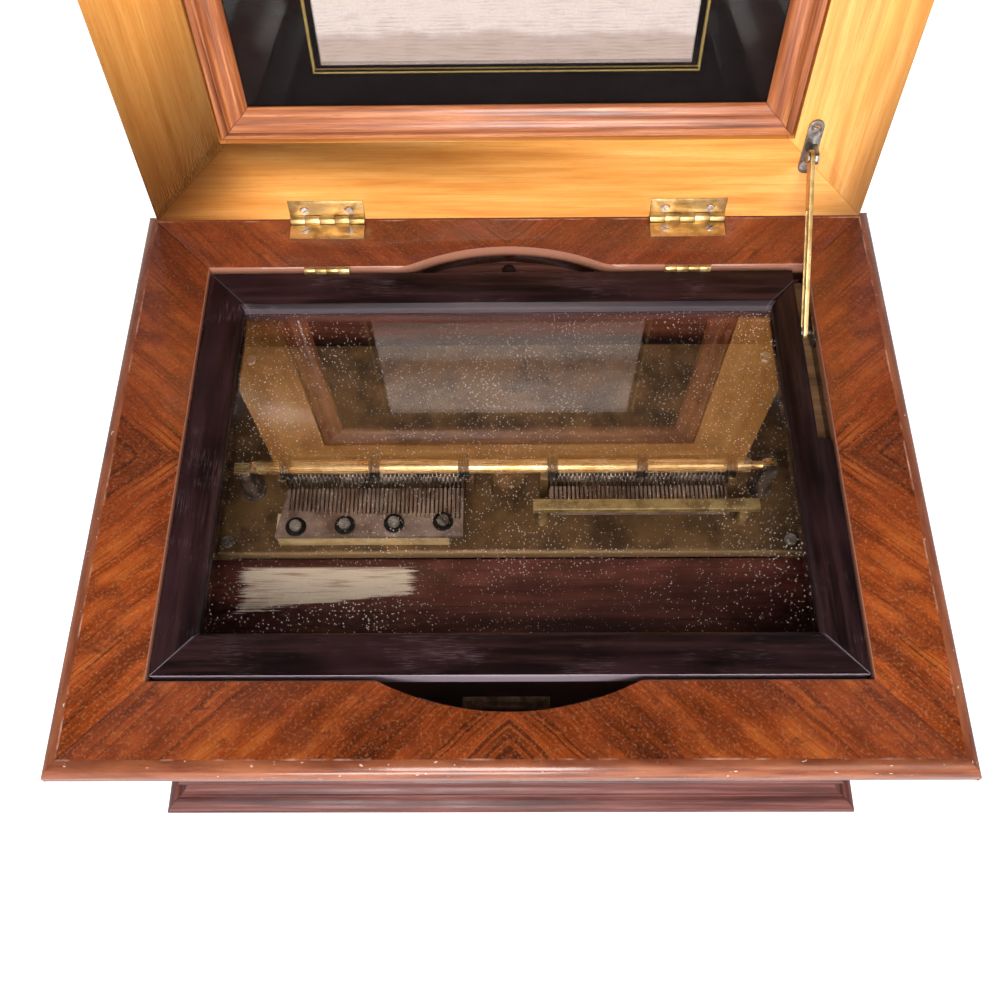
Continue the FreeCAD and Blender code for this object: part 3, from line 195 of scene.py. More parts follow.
# Sizes of the figure along the grain, across it and down through it. The pores and the speckle are drawn
# several times as wide as real ones, or they wouldn't show.
BANDS, BLUSH, VEINS = (0.07, 0.016, 0.05), (0.035, 0.022, 0.05), (0.12, 0.0048, 0.05)
LINES, RIBS = (0.10, 0.0012, 0.05), (0.20, 0.0019, 0.05)
SMOKE, PORES, SPECKLE = (0.018, 0.010, 0.01), (0.006, 0.0006, 0.01), (0.0016, 0.0016, 0.0016)
RIPPLES, WANDER, WANDERS_PER_METRE = (0.05, 0.03, 0.05), (0.014, 0.014, 0), 14
LIP_BANDS, LIP_CHIPS, ARRIS_WEAR_AND_HIGHLIGHT = (0.04, 0.012, 0.003), (0.005, 0.003, 0.002), (0.02, 0.02, 0.02)
# The ribs crowd where the chevron's points meet: within these distances of a rail's middle, by these shares.
RIBS_WITHIN, RIBS_MORE = (0.055, 0.045), (0.16, 0.10)
CREASE = radians(30)


def surface(name, slot, **inputs):
    """A material for one of the record's slots, its Principled shader's own sockets set; and its tree."""
    made = bpy.data.materials.new(name)
    made.use_nodes = True
    made["slot"] = slot
    for key, value in inputs.items():
        made.node_tree.nodes["Principled BSDF"].inputs[key.replace("_", " ")].default_value = value
    return made, made.node_tree


def streaks(tree, size, turn=(0, 0, 0), at=(0, 0, 0), where=None, detail=4.0, rough=0.6):
    """Noise drawn out to a size along turned axes, which grain, stains and scratches are made of."""
    where = where or node(tree, "TexCoord").outputs["Object"]
    drawn = node(tree, "Mapping", {"Vector": where, "Location": at, "Rotation": turn, "Scale": size},
                 vector_type="TEXTURE")
    return node(tree, "TexNoise", {"Vector": drawn, "Scale": 1, "Detail": detail, "Roughness": rough})


def tinted(tree, base, value, low, high, code, most=1.0):
    """A colour laid over another where a value goes from low to high, most of the way at most."""
    share = node(tree, "MapRange", {0: value, 1: low, 2: high, 3: 0.0, 4: most})
    base = colour(base) if isinstance(base, str) else base
    return node(tree, "Mix", {0: share, 6: base, 7: colour(code)}, data_type="RGBA")


def finished(tree, base, rough, value, height, depth):
    """Gives the tree's shader a colour, a roughness that runs with a value, and a relief of a depth."""
    share = node(tree, "MapRange", {0: value, 1: 0.3, 2: 0.7, 3: rough[0], 4: rough[1]})
    relief = node(tree, "Bump", {"Height": height, "Distance": depth, "Strength": 0.6})
    joined = (("Base Color", base.outputs[2]), ("Roughness", share.outputs[0]), ("Normal", relief.outputs[0]))
    for socket, source in joined:
        tree.links.new(source, tree.nodes["Principled BSDF"].inputs[socket])


def mitred(tree, half, middle=0.0, place=None):
    """For a mitred frame of half sizes: the place along each member's grain, the joints, how far past it."""
    place = place or node(tree, "TexCoord").outputs["Object"]
    split = node(tree, "SeparateXYZ", {0: place})
    aside = node(tree, "Math", {0: split.outputs[0]}, operation="ABSOLUTE")
    aside = node(tree, "Math", {0: aside, 1: half[0]}, operation="SUBTRACT")
    ahead = node(tree, "Math", {0: split.outputs[1], 1: middle}, operation="SUBTRACT")
    ahead = node(tree, "Math", {0: ahead}, operation="ABSOLUTE")
    ahead = node(tree, "Math", {0: ahead, 1: half[1]}, operation="SUBTRACT")
    side = node(tree, "Math", {0: aside, 1: ahead}, operation="GREATER_THAN")
    swapped = node(tree, "CombineXYZ", {0: split.outputs[1], 1: split.outputs[0], 2: split.outputs[2]})
    along = node(tree, "Mix", {0: side, 4: place, 5: swapped}, data_type="VECTOR")
    joint = node(tree, "Math", {0: aside, 1: ahead, 2: MITRE_LINE}, operation="COMPARE")
    past = node(tree, "Math", {0: aside, 1: ahead}, operation="MAXIMUM")
    return along.outputs[1], joint, past


def rounded(bm, edges, by, segments=2, clamp=False):
    """Rounds some edges of a bmesh, or chamfers them with one segment."""
    bmesh.ops.bevel(bm, geom=edges, offset=by, offset_type="OFFSET", segments=segments, profile=0.5,
                    affect="EDGES", clamp_overlap=clamp, material=-1)


def dressed(name, material, soften=0.0004):
    """A copy of a CAD node, its triangles merged and its hard edges rounded, which stands for the node."""
    source = frame["nodes"][name]
    bm = bmesh.new()
    bm.from_mesh(source.data)
    bmesh.ops.remove_doubles(bm, verts=bm.verts, dist=1e-6)
    bmesh.ops.dissolve_limit(bm, angle_limit=radians(1), verts=bm.verts, edges=bm.edges)
    hard = [edge for edge in bm.edges if edge.is_manifold and edge.calc_face_angle(0) > CREASE]
    rounded(bm, hard, soften, clamp=True)
    return settled("dressed_" + name, bm, material, body_of(source)[0], name)


def settled(name, bm, material, body, *stands_for):
    """Makes a bmesh a shown piece that rides on a body and stands for CAD nodes."""
    mesh = meshed(name, bm)
    mesh.materials.append(material)
    mesh.shade_smooth()
    mesh.set_sharp_from_angle(angle=CREASE)
    piece = bpy.data.objects.new(name, mesh)
    bpy.context.scene.collection.objects.link(piece)
    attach(piece, body)
    if stands_for:
        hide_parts(*stands_for)
    return piece


rosewood, tree = surface("glossy rosewood veneer", "veneer", Coat_Weight=0.3, Coat_Roughness=0.08,
                         Specular_IOR_Level=0.3)
place = node(tree, "TexCoord").outputs["Object"]
split = node(tree, "SeparateXYZ", {0: place})
folded = node(tree, "VectorMath", {0: place}, operation="ABSOLUTE").outputs[0]
wander = node(tree, "TexNoise", {"Vector": folded, "Scale": WANDERS_PER_METRE, "Detail": 2}).outputs["Color"]
bent = node(tree, "VectorMath", {0: wander, 1: WANDER, 2: folded}, operation="MULTIPLY_ADD").outputs[0]
lines = streaks(tree, LINES, CHEVRON, where=bent, detail=3)
base = node(tree, "ValToRGB", {0: streaks(tree, BANDS, CHEVRON, where=bent)}, VENEER)
base = tinted(tree, base, streaks(tree, BLUSH, where=folded), 0.48, 0.64, "6a2f17", 0.65)
base = tinted(tree, base, streaks(tree, VEINS, CHEVRON, where=bent, detail=3), 0.57, 0.68, "3c190d", 0.75)
base = tinted(tree, base, lines, 0.48, 0.66, "4a2010", 0.42)
from_middle = node(tree, "SeparateXYZ", {0: folded})
crowds = [node(tree, "MapRange", {0: from_middle.outputs[axis], 1: 0.0, 2: RIBS_WITHIN[axis],
                                  3: RIBS_MORE[axis], 4: 0.0}) for axis in (0, 1)]
crowded = node(tree, "Math", {0: crowds[0], 1: crowds[1]}, operation="MAXIMUM")
ribs = streaks(tree, RIBS, CHEVRON, where=bent, detail=2)
ribs = node(tree, "Math", {0: ribs, 1: crowded}, operation="ADD")
base = tinted(tree, base, ribs, 0.60, 0.70, "45200f", 0.75)
base = tinted(tree, base, streaks(tree, SMOKE, where=folded, detail=5), 0.60, 0.70, "34150b", 0.6)
base = tinted(tree, base, streaks(tree, PORES, CHEVRON, where=folded), 0.55, 0.72, "34160d", 0.5)
base = tinted(tree, base, streaks(tree, SPECKLE, detail=3), 0.52, 0.74, "d08a58", 0.35)
# Painted shade: the veneer darkens toward the back of the board.
base = tinted(tree, base, split.outputs[1], -0.10, 0.16, "5c2f22", 0.50)
along, joint, past = mitred(tree, BOARD_HALF)
base = tinted(tree, base, joint, 0.2, 0.8, "3a1a10", 0.5)

lip = tinted(tree, "6c3622", streaks(tree, LIP_BANDS, where=along), 0.35, 0.65, "985838")
lip = tinted(tree, lip, streaks(tree, LIP_CHIPS, where=along, detail=2), 0.69, 0.74, "ecd6c8", 0.7)
# Painted shade: the moulding darkens toward its bottom.
lip = tinted(tree, lip, split.outputs[2], *LIP_PAINTED_SHADE, "5a2c20", 0.8)
outside = node(tree, "Math", {0: past, 1: 0.0}, operation="GREATER_THAN")
base = node(tree, "Mix", {0: outside, 6: base, 7: lip}, data_type="RGBA")
# A broken pale line on the arris: rubbed wear and a painted highlight.
arris = node(tree, "Math", {0: past, 1: 0.0, 2: MITRE_LINE}, operation="COMPARE")
worn_and_highlit_arris = node(tree, "Math", {0: arris, 1: streaks(tree, ARRIS_WEAR_AND_HIGHLIGHT, detail=3)}, operation="MULTIPLY")
base = tinted(tree, base, worn_and_highlit_arris, 0.48, 0.66, "cfa590", 0.7)

flatness = node(tree, "SeparateXYZ", {0: node(tree, "TexCoord").outputs["Normal"]}).outputs[2]
flatness = node(tree, "Math", {0: flatness}, operation="ABSOLUTE")
steep = node(tree, "Math", {0: flatness, 1: STEEP}, operation="LESS_THAN")
inside = node(tree, "Math", {0: past, 1: SAWN_WITHIN}, operation="LESS_THAN")
sawn = node(tree, "Math", {0: steep, 1: inside}, operation="MULTIPLY")
sawn = node(tree, "Math", {0: sawn, 1: 0.9}, operation="MULTIPLY")
# Painted shade: the sawn edge darkens to near black as it goes down into the opening.
bare = tinted(tree, "a4705a", split.outputs[2], *SAWN_PAINTED_SHADE, "1c0d0a")
base = node(tree, "Mix", {0: sawn, 6: base, 7: bare}, data_type="RGBA")
finished(tree, base, (0.16, 0.34), streaks(tree, RIPPLES), lines, 0.00006)
for rail in ("front", "back", "left", "right"):
    dressed("top_rail_" + rail, rosewood, BOARD_SOFTEN)


# The case is a plain box of stained walnut glued on a moulded plinth, with a bottom and two bearers inside.
# Stained walnut is a low brown gloss with thin grain; the bearers and the bottom are raw pine, dry and matt.
WALNUT = ((0.32, "3c1c14"), (0.5, "5e3024"), (0.66, "74402c"))
PLINTH = ((0.30, "3c1d1a"), (0.5, "62352f"), (0.7, "8a564c"))
PINE = ((0.35, "4c3420"), (0.5, "7a5838"), (0.7, "94704a"))
WALNUT_GRAIN, PLINTH_GRAIN, PINE_GRAIN = (0.2, 0.2, 0.010), (0.12, 0.006, 0.003), (0.2, 0.012, 0.012)
PLINTH_HALF, PLINTH_SOFTEN = (0.235, 0.1755), 0.0008
# The hairs' sizes are shares of the bands'. The pores are drawn three times as wide as real ones, or they
# wouldn't show.
HAIR_LONG, HAIR_WIDE = 0.6, 0.14
WOOD_PORES, WOOD_SMEARS = (0.009, 0.0006, 0.0006), (0.03, 0.02, 0.02)


def wood(name, slot, stops, size, frame_of=None, turned=None, rough=(0.5, 0.3), depth=0.0001, **inputs):
    """A wood with grain along x, or along each member of a mitred frame: bands, hairs, pores and smears."""
    made, tree = surface(name, slot, **inputs)
    place = node(tree, "TexCoord").outputs["Object"]
    if turned:
        place = node(tree, "Mapping", {"Vector": place, "Location": turned[0], "Rotation": turned[1]},
                     vector_type="TEXTURE").outputs[0]
    joint = None
    if frame_of:
        place, joint, _ = mitred(tree, *frame_of, place=place)
    base = node(tree, "ValToRGB", {0: streaks(tree, size, where=place)}, stops)
    hair_size = (size[0] * HAIR_LONG, size[1] * HAIR_WIDE, size[2] * HAIR_WIDE)
    base = tinted(tree, base, streaks(tree, hair_size, where=place, detail=3), 0.48, 0.70, stops[0][1], 0.5)
    pores = streaks(tree, WOOD_PORES, where=place, detail=2)
    base = tinted(tree, base, pores, 0.60, 0.74, stops[0][1], 0.6)
    if joint:
        base = tinted(tree, base, joint, 0.2, 0.8, stops[0][1], 0.8)
    finished(tree, base, rough, streaks(tree, WOOD_SMEARS, where=place), pores, depth)
    return made


walnut = wood("stained walnut", "case_wood", WALNUT, WALNUT_GRAIN, Coat_Weight=0.3, Coat_Roughness=0.2)
for wall in ("front_wall", "back_wall", "left_wall", "right_wall"):
    dressed(wall, walnut)
plinth = wood("dark stained moulding", "case_wood", PLINTH, PLINTH_GRAIN, (PLINTH_HALF,),
              Specular_IOR_Level=0.3)
dressed("plinth_moulding", plinth, PLINTH_SOFTEN)
raw_pine = wood("raw pine", "raw_wood", PINE, PINE_GRAIN, rough=(0.8, 0.65))
dressed("base_board", raw_pine)
dressed("movement_bearers", raw_pine)


# The glazed lid is a thin ebonised frame with a pane held by beads; it lies on two ledges inside the case.
# Ebonised wood is black with brown and bluish streaks; a painted highlight turns its front-facing faces a
# pale lilac, most toward the front.
EBONY = ((0.30, "0a0405"), (0.5, "180b0c"), (0.72, "34201e"))
EBONY_GRAIN, EBONY_CLOUDS, EBONY_FLECKS = (0.08, 0.005, 0.005), (0.08, 0.03, 0.03), (0.012, 0.0005, 0.0005)
FLECK_CLOUDS = (0.05, 0.03, 0.03)
GLASS_LID_HALF, GLASS_LID_MIDDLE, GLASS_LID_FRONT = (0.1958, 0.137), 0.002, -0.134
GLASS_LID_SOFTEN, BEAD_SOFTEN = 0.0007, 0.0003
ebony, tree = surface("ebonised wood", "ebonised", Specular_IOR_Level=0.16)
along, joint, _ = mitred(tree, GLASS_LID_HALF, GLASS_LID_MIDDLE)
base = node(tree, "ValToRGB", {0: streaks(tree, EBONY_GRAIN, where=along)}, EBONY)
base = tinted(tree, base, streaks(tree, EBONY_CLOUDS, where=along, detail=2), 0.45, 0.7, "3a2226", 0.6)
flecks = streaks(tree, EBONY_FLECKS, where=along, detail=4)
cloud = node(tree, "Math", {0: flecks, 1: streaks(tree, FLECK_CLOUDS)}, operation="MULTIPLY")
base = tinted(tree, base, cloud, 0.31, 0.42, "6e5c60", 0.45)
base = tinted(tree, base, joint, 0.2, 0.8, "4a4248", 0.6)
# Painted highlight: faces turned to the front go pale lilac, more so toward the lid's front edge.
facing = node(tree, "SeparateXYZ", {0: node(tree, "TexCoord").outputs["Normal"]}).outputs[1]
forward = node(tree, "SeparateXYZ", {0: node(tree, "TexCoord").outputs["Object"]}).outputs[1]
forward = node(tree, "MapRange", {0: forward, 1: 0.0, 2: GLASS_LID_FRONT, 3: 0.30, 4: 1.0})
facing = node(tree, "Math", {0: facing, 1: forward}, operation="MULTIPLY")
base = tinted(tree, base, facing, -0.20, -0.90, "b4a2ac", 0.9)
finished(tree, base, (0.28, 0.46), flecks, flecks, 0.00008)
for member in ("front", "back", "left", "right"):
    dressed("glass_lid_" + member, ebony, GLASS_LID_SOFTEN)
dressed("glass_beads", ebony, BEAD_SOFTEN)
dressed("glass_lid_ledges", raw_pine)

# The pane is old sheet glass, loose in its rebate, so it leans a little and its mirror image with it.
# It mirrors the open lid, holds back some light, and carries a scatter of pale dust. The specks are drawn
# 0.3 to 0.8 mm wide, or they wouldn't show.
PANE_LEAN = radians(-2.2)
PANE_TINT, PANE_CLEAR, PANE_DUST = "ecebe6", "f8f6f2", "d8cac0"
SPECKS_PER_METRE, SPECK_DRIFTS = 430, (0.05, 0.05, 0.05)
pane, tree = surface("dusty sheet glass", "pane", Transmission_Weight=1.0, IOR=1.8, Roughness=0.01,
                     Specular_IOR_Level=0.8)
shader = tree.nodes["Principled BSDF"]
shader.inputs["Base Color"].default_value = colour(PANE_TINT)
upright = node(tree, "NewGeometry").outputs["Normal"]
leant = node(tree, "VectorRotate", {"Vector": upright, "Angle": PANE_LEAN}, rotation_type="X_AXIS")
tree.links.new(leant.outputs[0], shader.inputs["Normal"])
place = node(tree, "TexCoord").outputs["Object"]
grains = node(tree, "TexVoronoi", {"Vector": place, "Scale": SPECKS_PER_METRE}).outputs["Distance"]
reach = node(tree, "MapRange", {0: streaks(tree, SPECK_DRIFTS, detail=3), 1: 0.34, 2: 0.68, 3: 0.07, 4: 0.17})
speck = node(tree, "Math", {0: grains, 1: reach}, operation="LESS_THAN")
speck = node(tree, "Math", {0: speck, 1: 0.8}, operation="MULTIPLY")
dust = node(tree, "BsdfDiffuse", {"Color": colour(PANE_DUST)})
dusty = node(tree, "MixShader", {0: speck, 1: shader, 2: dust})


def lets_light_by(tree, glass, code):
    """Ends a glass's tree: shadow rays pass it with a tint, and all others meet its own shader."""
    clear = node(tree, "BsdfTransparent", {"Color": colour(code)})
    shadow = node(tree, "LightPath").outputs["Is Shadow Ray"]
    chosen = node(tree, "MixShader", {0: shadow, 1: glass, 2: clear})
    tree.links.new(chosen.outputs[0], tree.nodes["Material Output"].inputs["Surface"])


def recoat(name, material):
    """Gives a CAD node that keeps its own shape another material."""
    for holder in frame["nodes"][name].material_slots:
        holder.material = material


lets_light_by(tree, dusty, PANE_CLEAR)
recoat("glass_pane", pane)


# The main lid stands open behind: a honey-coloured mitred border, a rim glued round it, and a panel on top.
# Oiled fruitwood is smooth and warm, with soft bands along each member and a darker line at each mitre. The
# outside is red walnut under a harder polish.
LID_HINGE, LID_LEAN = (0, 0.181, 0.191), radians(180 - 97.63)
LID_TURNED = (LID_HINGE, (LID_LEAN, 0, 0))
LID_HALF, LID_MIDDLE = (0.237, 0.181), 0.181
HONEY = ((0.28, "cc7e38"), (0.46, "ea9c4a"), (0.6, "f4ac5a"), (0.78, "fac078"))
LID_RED = ((0.32, "5a2a18"), (0.5, "8a4423"), (0.68, "a85a2c"))
HONEY_GRAIN, RED_GRAIN = (0.13, 0.009, 0.009), (0.14, 0.010, 0.010)
RIM_SOFTEN, PANEL_SOFTEN = 0.0008, 0.001
honey = wood("oiled honey fruitwood", "lid_wood", HONEY, HONEY_GRAIN, (LID_HALF, LID_MIDDLE), LID_TURNED,
             (0.42, 0.28), 0.00005, Coat_Weight=0.25, Coat_Roughness=0.2)
dressed("lid_border", honey)
red_walnut = wood("polished red walnut", "lid_back", LID_RED, RED_GRAIN, (LID_HALF, LID_MIDDLE), LID_TURNED,
                  (0.4, 0.26), 0.00008, Coat_Weight=0.4, Coat_Roughness=0.12)
dressed("lid_rim", red_walnut, RIM_SOFTEN)
dressed("lid_top_panel", red_walnut, PANEL_SOFTEN)


# A walnut moulding pinned into the lid holds a small print behind glass, on a black mat with a gold line.
# The moulding is streaked lengthwise. The print is in soft browns on slightly mottled paper: hills one
# before another, a belt of trees, and a meadow of fine grass.
MOULDING = ((0.30, "6c341a"), (0.5, "aa6034"), (0.7, "d08858"))
MOULDING_GRAIN, MOULDING_HALF, MOULDING_SOFTEN = (0.10, 0.0035, 0.0035), (0.179, 0.119), 0.0005
MAT_BLACK, GOLD = "160e0e", "b89a58"
GOLD_OUT, GOLD_WIDE = 0.005, 0.0011
PRINT_HALF, MAT_EDGE = (0.110, 0.073), 0.00005
CLOUDS, LEAVES, GRASS = (0.05, 0.012, 1), (0.012, 0.010, 1), (0.020, 0.0016, 1)
MOTTLE = (0.0012, 0.0012, 0.0012)
# Each hill's height and its rise and fall as shares of the print's half height, its length and its tone.
# Its noise is far longer the other ways, so that it changes only along the print.
HILLS = ((0.30, 0.9, 0.10, "c9b5ad"), (0.05, 0.7, 0.06, "a68e84"), (-0.25, 0.3, 0.05, "e0d2cb"),
         (-0.75, 0.3, 0.04, "c2ada4"))
UNCHANGING, HILL_EDGE = 10, 0.02
moulding = wood("streaked walnut moulding", "moulding", MOULDING, MOULDING_GRAIN, (MOULDING_HALF, LID_MIDDLE),
                LID_TURNED, (0.45, 0.3), 0.0001, Coat_Weight=0.25, Coat_Roughness=0.2)
dressed("picture_moulding", moulding, MOULDING_SOFTEN)
printed, tree = surface("brown print on a black mat", "picture", Specular_IOR_Level=0.1)
place = node(tree, "TexCoord").outputs["Object"]
flat = node(tree, "Mapping", {"Vector": place, "Location": LID_TURNED[0], "Rotation": LID_TURNED[1]},
            vector_type="TEXTURE").outputs[0]
_, _, past = mitred(tree, PRINT_HALF, LID_MIDDLE, flat)
rise = node(tree, "SeparateXYZ", {0: flat}).outputs[1]
rise = node(tree, "Math", {0: rise, 1: LID_MIDDLE}, operation="SUBTRACT")
rise = node(tree, "Math", {0: rise, 1: PRINT_HALF[1]}, operation="DIVIDE")
clouds = streaks(tree, CLOUDS, where=flat)
base = tinted(tree, "dccdc7", clouds, 0.42, 0.62, "f4ece9")
for crest, sway, length, tone in HILLS:
    hill = streaks(tree, (length, UNCHANGING, UNCHANGING), at=(crest, 0, 0), where=flat, detail=5)
    hill = node(tree, "Math", {0: hill, 1: sway, 2: crest - sway / 2}, operation="MULTIPLY_ADD")
    above = node(tree, "Math", {0: rise, 1: hill}, operation="SUBTRACT")
    base = tinted(tree, base, above, HILL_EDGE, -HILL_EDGE, tone)
belt = node(tree, "MapRange", {0: rise, 1: 0.30, 2: -0.10, 3: 0.0, 4: 0.10})
leaves = node(tree, "Math", {0: streaks(tree, LEAVES, where=flat, detail=6), 1: belt}, operation="ADD")
under_belt = node(tree, "MapRange", {0: rise, 1: -0.10, 2: -0.30, 3: 0.0, 4: 0.20})
leaves = node(tree, "Math", {0: leaves, 1: under_belt}, operation="SUBTRACT")
base = tinted(tree, base, leaves, 0.58, 0.66, "806a60", 0.6)
meadow = node(tree, "MapRange", {0: rise, 1: -0.30, 2: -0.80, 3: 0.0, 4: 0.12})
grass = node(tree, "Math", {0: streaks(tree, GRASS, where=flat), 1: meadow}, operation="ADD")
base = tinted(tree, base, grass, 0.60, 0.72, "947c72", 0.5)
base = tinted(tree, base, streaks(tree, MOTTLE, detail=2), 0.4, 0.7, "a08a82", 0.3)
base = tinted(tree, base, past, -MAT_EDGE, MAT_EDGE, MAT_BLACK)
gold_line = node(tree, "Math", {0: past, 1: GOLD_OUT, 2: GOLD_WIDE / 2}, operation="COMPARE")
base = tinted(tree, base, gold_line, 0.4, 0.6, GOLD)
finished(tree, base, (0.6, 0.8), clouds, clouds, 0.00002)
recoat("picture_board", printed)

# The picture's own glass is thin and newly wiped, so it shows little but a few smears.
SMEARS, PICTURE_CLEAR = (0.03, 0.03, 0.008), "f4f4f2"
thin_glass, tree = surface("clean picture glass", "pane", Transmission_Weight=1.0, IOR=1.3,
                           Specular_IOR_Level=0.2)
shader = tree.nodes["Principled BSDF"]
smeared = node(tree, "MapRange", {0: streaks(tree, SMEARS, detail=3), 1: 0.4, 2: 0.7, 3: 0.0, 4: 0.08})
tree.links.new(smeared.outputs[0], shader.inputs["Roughness"])
lets_light_by(tree, shader, PICTURE_CLEAR)
recoat("picture_glass", thin_glass)


# Hinges, stay and escutcheon are brass plate, screwed on; the stay's bracket, stud and wall plate are steel.
# Old brass has dulled brown in patches and is rubbed in fine lines; the steel is grey, with dark pits. Rubs
# and pits are drawn about five times as wide as real ones, or they wouldn't show.
BRASS_RUBS, STEEL_RUBS = (0.006, 0.0006, 0.0006), (0.004, 0.0005, 0.0005)
PITS, PIT_TONE = (0.0012, 0.0012, 0.0012), "241a10"
LEAF_SOFTEN = 0.00025


def metal(name, slot, clean, dull, rubs, rough=(0.25, 0.45), depth=0.00003, patch=0.012, bare=1.0):
    """A metal of two tones in patches of a size, with small dark pits and fine rubbing marks."""
    made, tree = surface(name, slot, Metallic=bare)
    marks = streaks(tree, rubs, detail=3)
    base = tinted(tree, clean, streaks(tree, (patch, patch, patch), detail=5), 0.42, 0.62, dull)
    base = tinted(tree, base, streaks(tree, PITS, detail=2), 0.62, 0.74, PIT_TONE, 0.5)
    finished(tree, base, rough, marks, marks, depth)
    return made


aged_brass = metal("aged brass", "brass", "d0b078", "a0804e", BRASS_RUBS, rough=(0.3, 0.5), bare=0.85)
dull_steel = metal("dull steel", "steel", "a8a49c", "6c6660", STEEL_RUBS)
for name in ("lid_hinge_leaves_case", "lid_hinge_leaves_lid", "glass_hinge_leaves_case",
             "glass_hinge_leaves_lid", "hinge_pins", "stay_bar", "winding_escutcheon"):
    dressed(name, aged_brass, LEAF_SOFTEN)
for name in ("stay_bracket", "stay_stud", "stay_wall_plate"):
    dressed(name, dull_steel, LEAF_SOFTEN)


# Screws are turned steel with a slot filed across the head, browned with age. They hold the hinges, the stay
# and the bedplate, and each stands at whatever angle it was last driven to. A screw's sizes are its head's
# radius and height, and its shank's radius and length; its slot and its eased edge are shares of those.
SCREW_RUBS = (0.003, 0.0004, 0.003)
SLOT_WIDE, SLOT_DEEP = 0.28, 0.45
HEAD_EASED, SHANK_TIP = 0.15, 0.4
LEAF_SCREW_X = (-0.136, -0.106, 0.106, 0.136)
CASE_LEAF_Y, CASE_LEAF_TOP = 0.173, 0.1901
PLATE_SCREW_X, PLATE_SCREW_Y, PLATE_TOP = (-0.1795, 0.1795), (-0.029, 0.110), 0.1292
STAY_PLATE_X, STAY_SCREW_Y, STAY_SCREW_Z = 0.1949, (0.087, 0.099), 0.182
LID_LEAF_Y, LID_LEAF_Z = 0.18269, 0.1972
BRACKET_SCREWS = ((0.1914, 0.18911, 0.25720), (0.1899, 0.18573, 0.23203))
# The first screw's angle in a group, and how much further each next one is turned.
CASE_TURNS, PLATE_TURNS, LID_TURNS = (0.5, 1.1), (0.3, 0.8), (0.4, 0.9)


def lathed(profile, steps, closed=False):
    """A bmesh turned about z from radii and heights, which run from axis to axis or close on themselves."""
    bm = bmesh.new()
    spots = [bm.verts.new((radius, 0, z)) for radius, z in profile]
    following = spots[1:] + spots[:1] if closed else spots[1:]
    edges = [bm.edges.new(pair) for pair in zip(spots, following)]
    bmesh.ops.spin(bm, geom=spots + edges, cent=(0, 0, 0), axis=(0, 0, 1), angle=2 * pi, steps=steps,
                   use_merge=True)
    bmesh.ops.remove_doubles(bm, verts=bm.verts, dist=1e-7)
    bmesh.ops.recalc_face_normals(bm, faces=bm.faces)
    return bm


def slotted_screw(head, high, shank, long):
    """A mesh of a screw whose head's top is at the origin, its slot along x."""
    bm = lathed(((0, -high - long), (shank * SHANK_TIP, -high - long), (shank, -high - long + 2 * shank),
                 (shank, -high), (head, -high), (head, -HEAD_EASED * high), (head - HEAD_EASED * high, 0),
                 (0, 0)), 32)
    half, deep = head * SLOT_WIDE / 2, high * SLOT_DEEP
    for point, way in (((0, half, 0), (0, 1, 0)), ((0, -half, 0), (0, 1, 0)), ((0, 0, -deep), (0, 0, 1))):
        bmesh.ops.bisect_plane(bm, geom=bm.verts[:] + bm.edges[:] + bm.faces[:], dist=1e-8, plane_co=point,
                               plane_no=way)
    strip = [face for face in bm.faces
             if abs(face.calc_center_median().y) < half and face.calc_center_median().z > -deep + 1e-8]
    bmesh.ops.delete(bm, geom=strip, context="FACES")
    slot = [spot for spot in bm.verts if abs(spot.co.y) < half + 1e-7 and spot.co.z > -deep - 1e-7]
    walls = [[spot for spot in slot if abs(spot.co.y - side * half) < 1e-7] for side in (-1, 1)]
    for wall in walls:
        middle = sum((spot.co for spot in wall), Vector()) / len(wall)
        bm.faces.new(sorted(wall, key=lambda spot: atan2(spot.co.z - middle.z, spot.co.x)))
    ground = [spot for spot in slot if abs(spot.co.z + deep) < 1e-7]
    bm.faces.new(sorted(ground, key=lambda spot: atan2(spot.co.y, spot.co.x)))
    bmesh.ops.recalc_face_normals(bm, faces=bm.faces)
    return meshed("screw", bm)


def put(bm, mesh, place, lean=0.0, turn=0.0, about="X"):
    """Adds a mesh to a bmesh, turned about its own axis, leant about a world axis and moved."""
    copy = mesh.copy()
    turned = Matrix.Rotation(lean, 4, about) @ Matrix.Rotation(turn, 4, "Z")
    copy.transform(Matrix.Translation(place) @ turned)
    bm.from_mesh(copy)
    bpy.data.meshes.remove(copy)


screw_steel = metal("browned screw steel", "screw_steel", "c8beb8", "7a6e68", SCREW_RUBS, rough=(0.25, 0.42),
                    bare=0.75)
LEAF_SCREW = slotted_screw(0.0029, 0.0016, 0.0013, 0.007)
PLATE_SCREW = slotted_screw(0.0039, 0.0022, 0.0019, 0.017)
SMALL_SCREW = slotted_screw(0.0017, 0.0016, 0.0009, 0.005)
bm = bmesh.new()
for at, x in enumerate(LEAF_SCREW_X):
    put(bm, LEAF_SCREW, (x, CASE_LEAF_Y, CASE_LEAF_TOP), turn=CASE_TURNS[0] + at * CASE_TURNS[1])
plate_places = [(x, y, PLATE_TOP) for y in PLATE_SCREW_Y for x in PLATE_SCREW_X]
for at, place in enumerate(plate_places):
    put(bm, PLATE_SCREW, place, turn=PLATE_TURNS[0] + at * PLATE_TURNS[1])
for at, y in enumerate(STAY_SCREW_Y):
    put(bm, SMALL_SCREW, (STAY_PLATE_X, y, STAY_SCREW_Z), lean=-pi / 2, turn=at, about="Y")
settled("case_slotted_screws", bm, screw_steel, "case", "case_screws")

bm = bmesh.new()
lid_places = [(x, LID_LEAF_Y, LID_LEAF_Z) for x in LEAF_SCREW_X] + list(BRACKET_SCREWS)
for at, place in enumerate(lid_places):
    put(bm, LEAF_SCREW, place, lean=LID_LEAN, turn=LID_TURNS[0] + at * LID_TURNS[1])
settled("lid_slotted_screws", bm, screw_steel, "lid", "lid_screws")
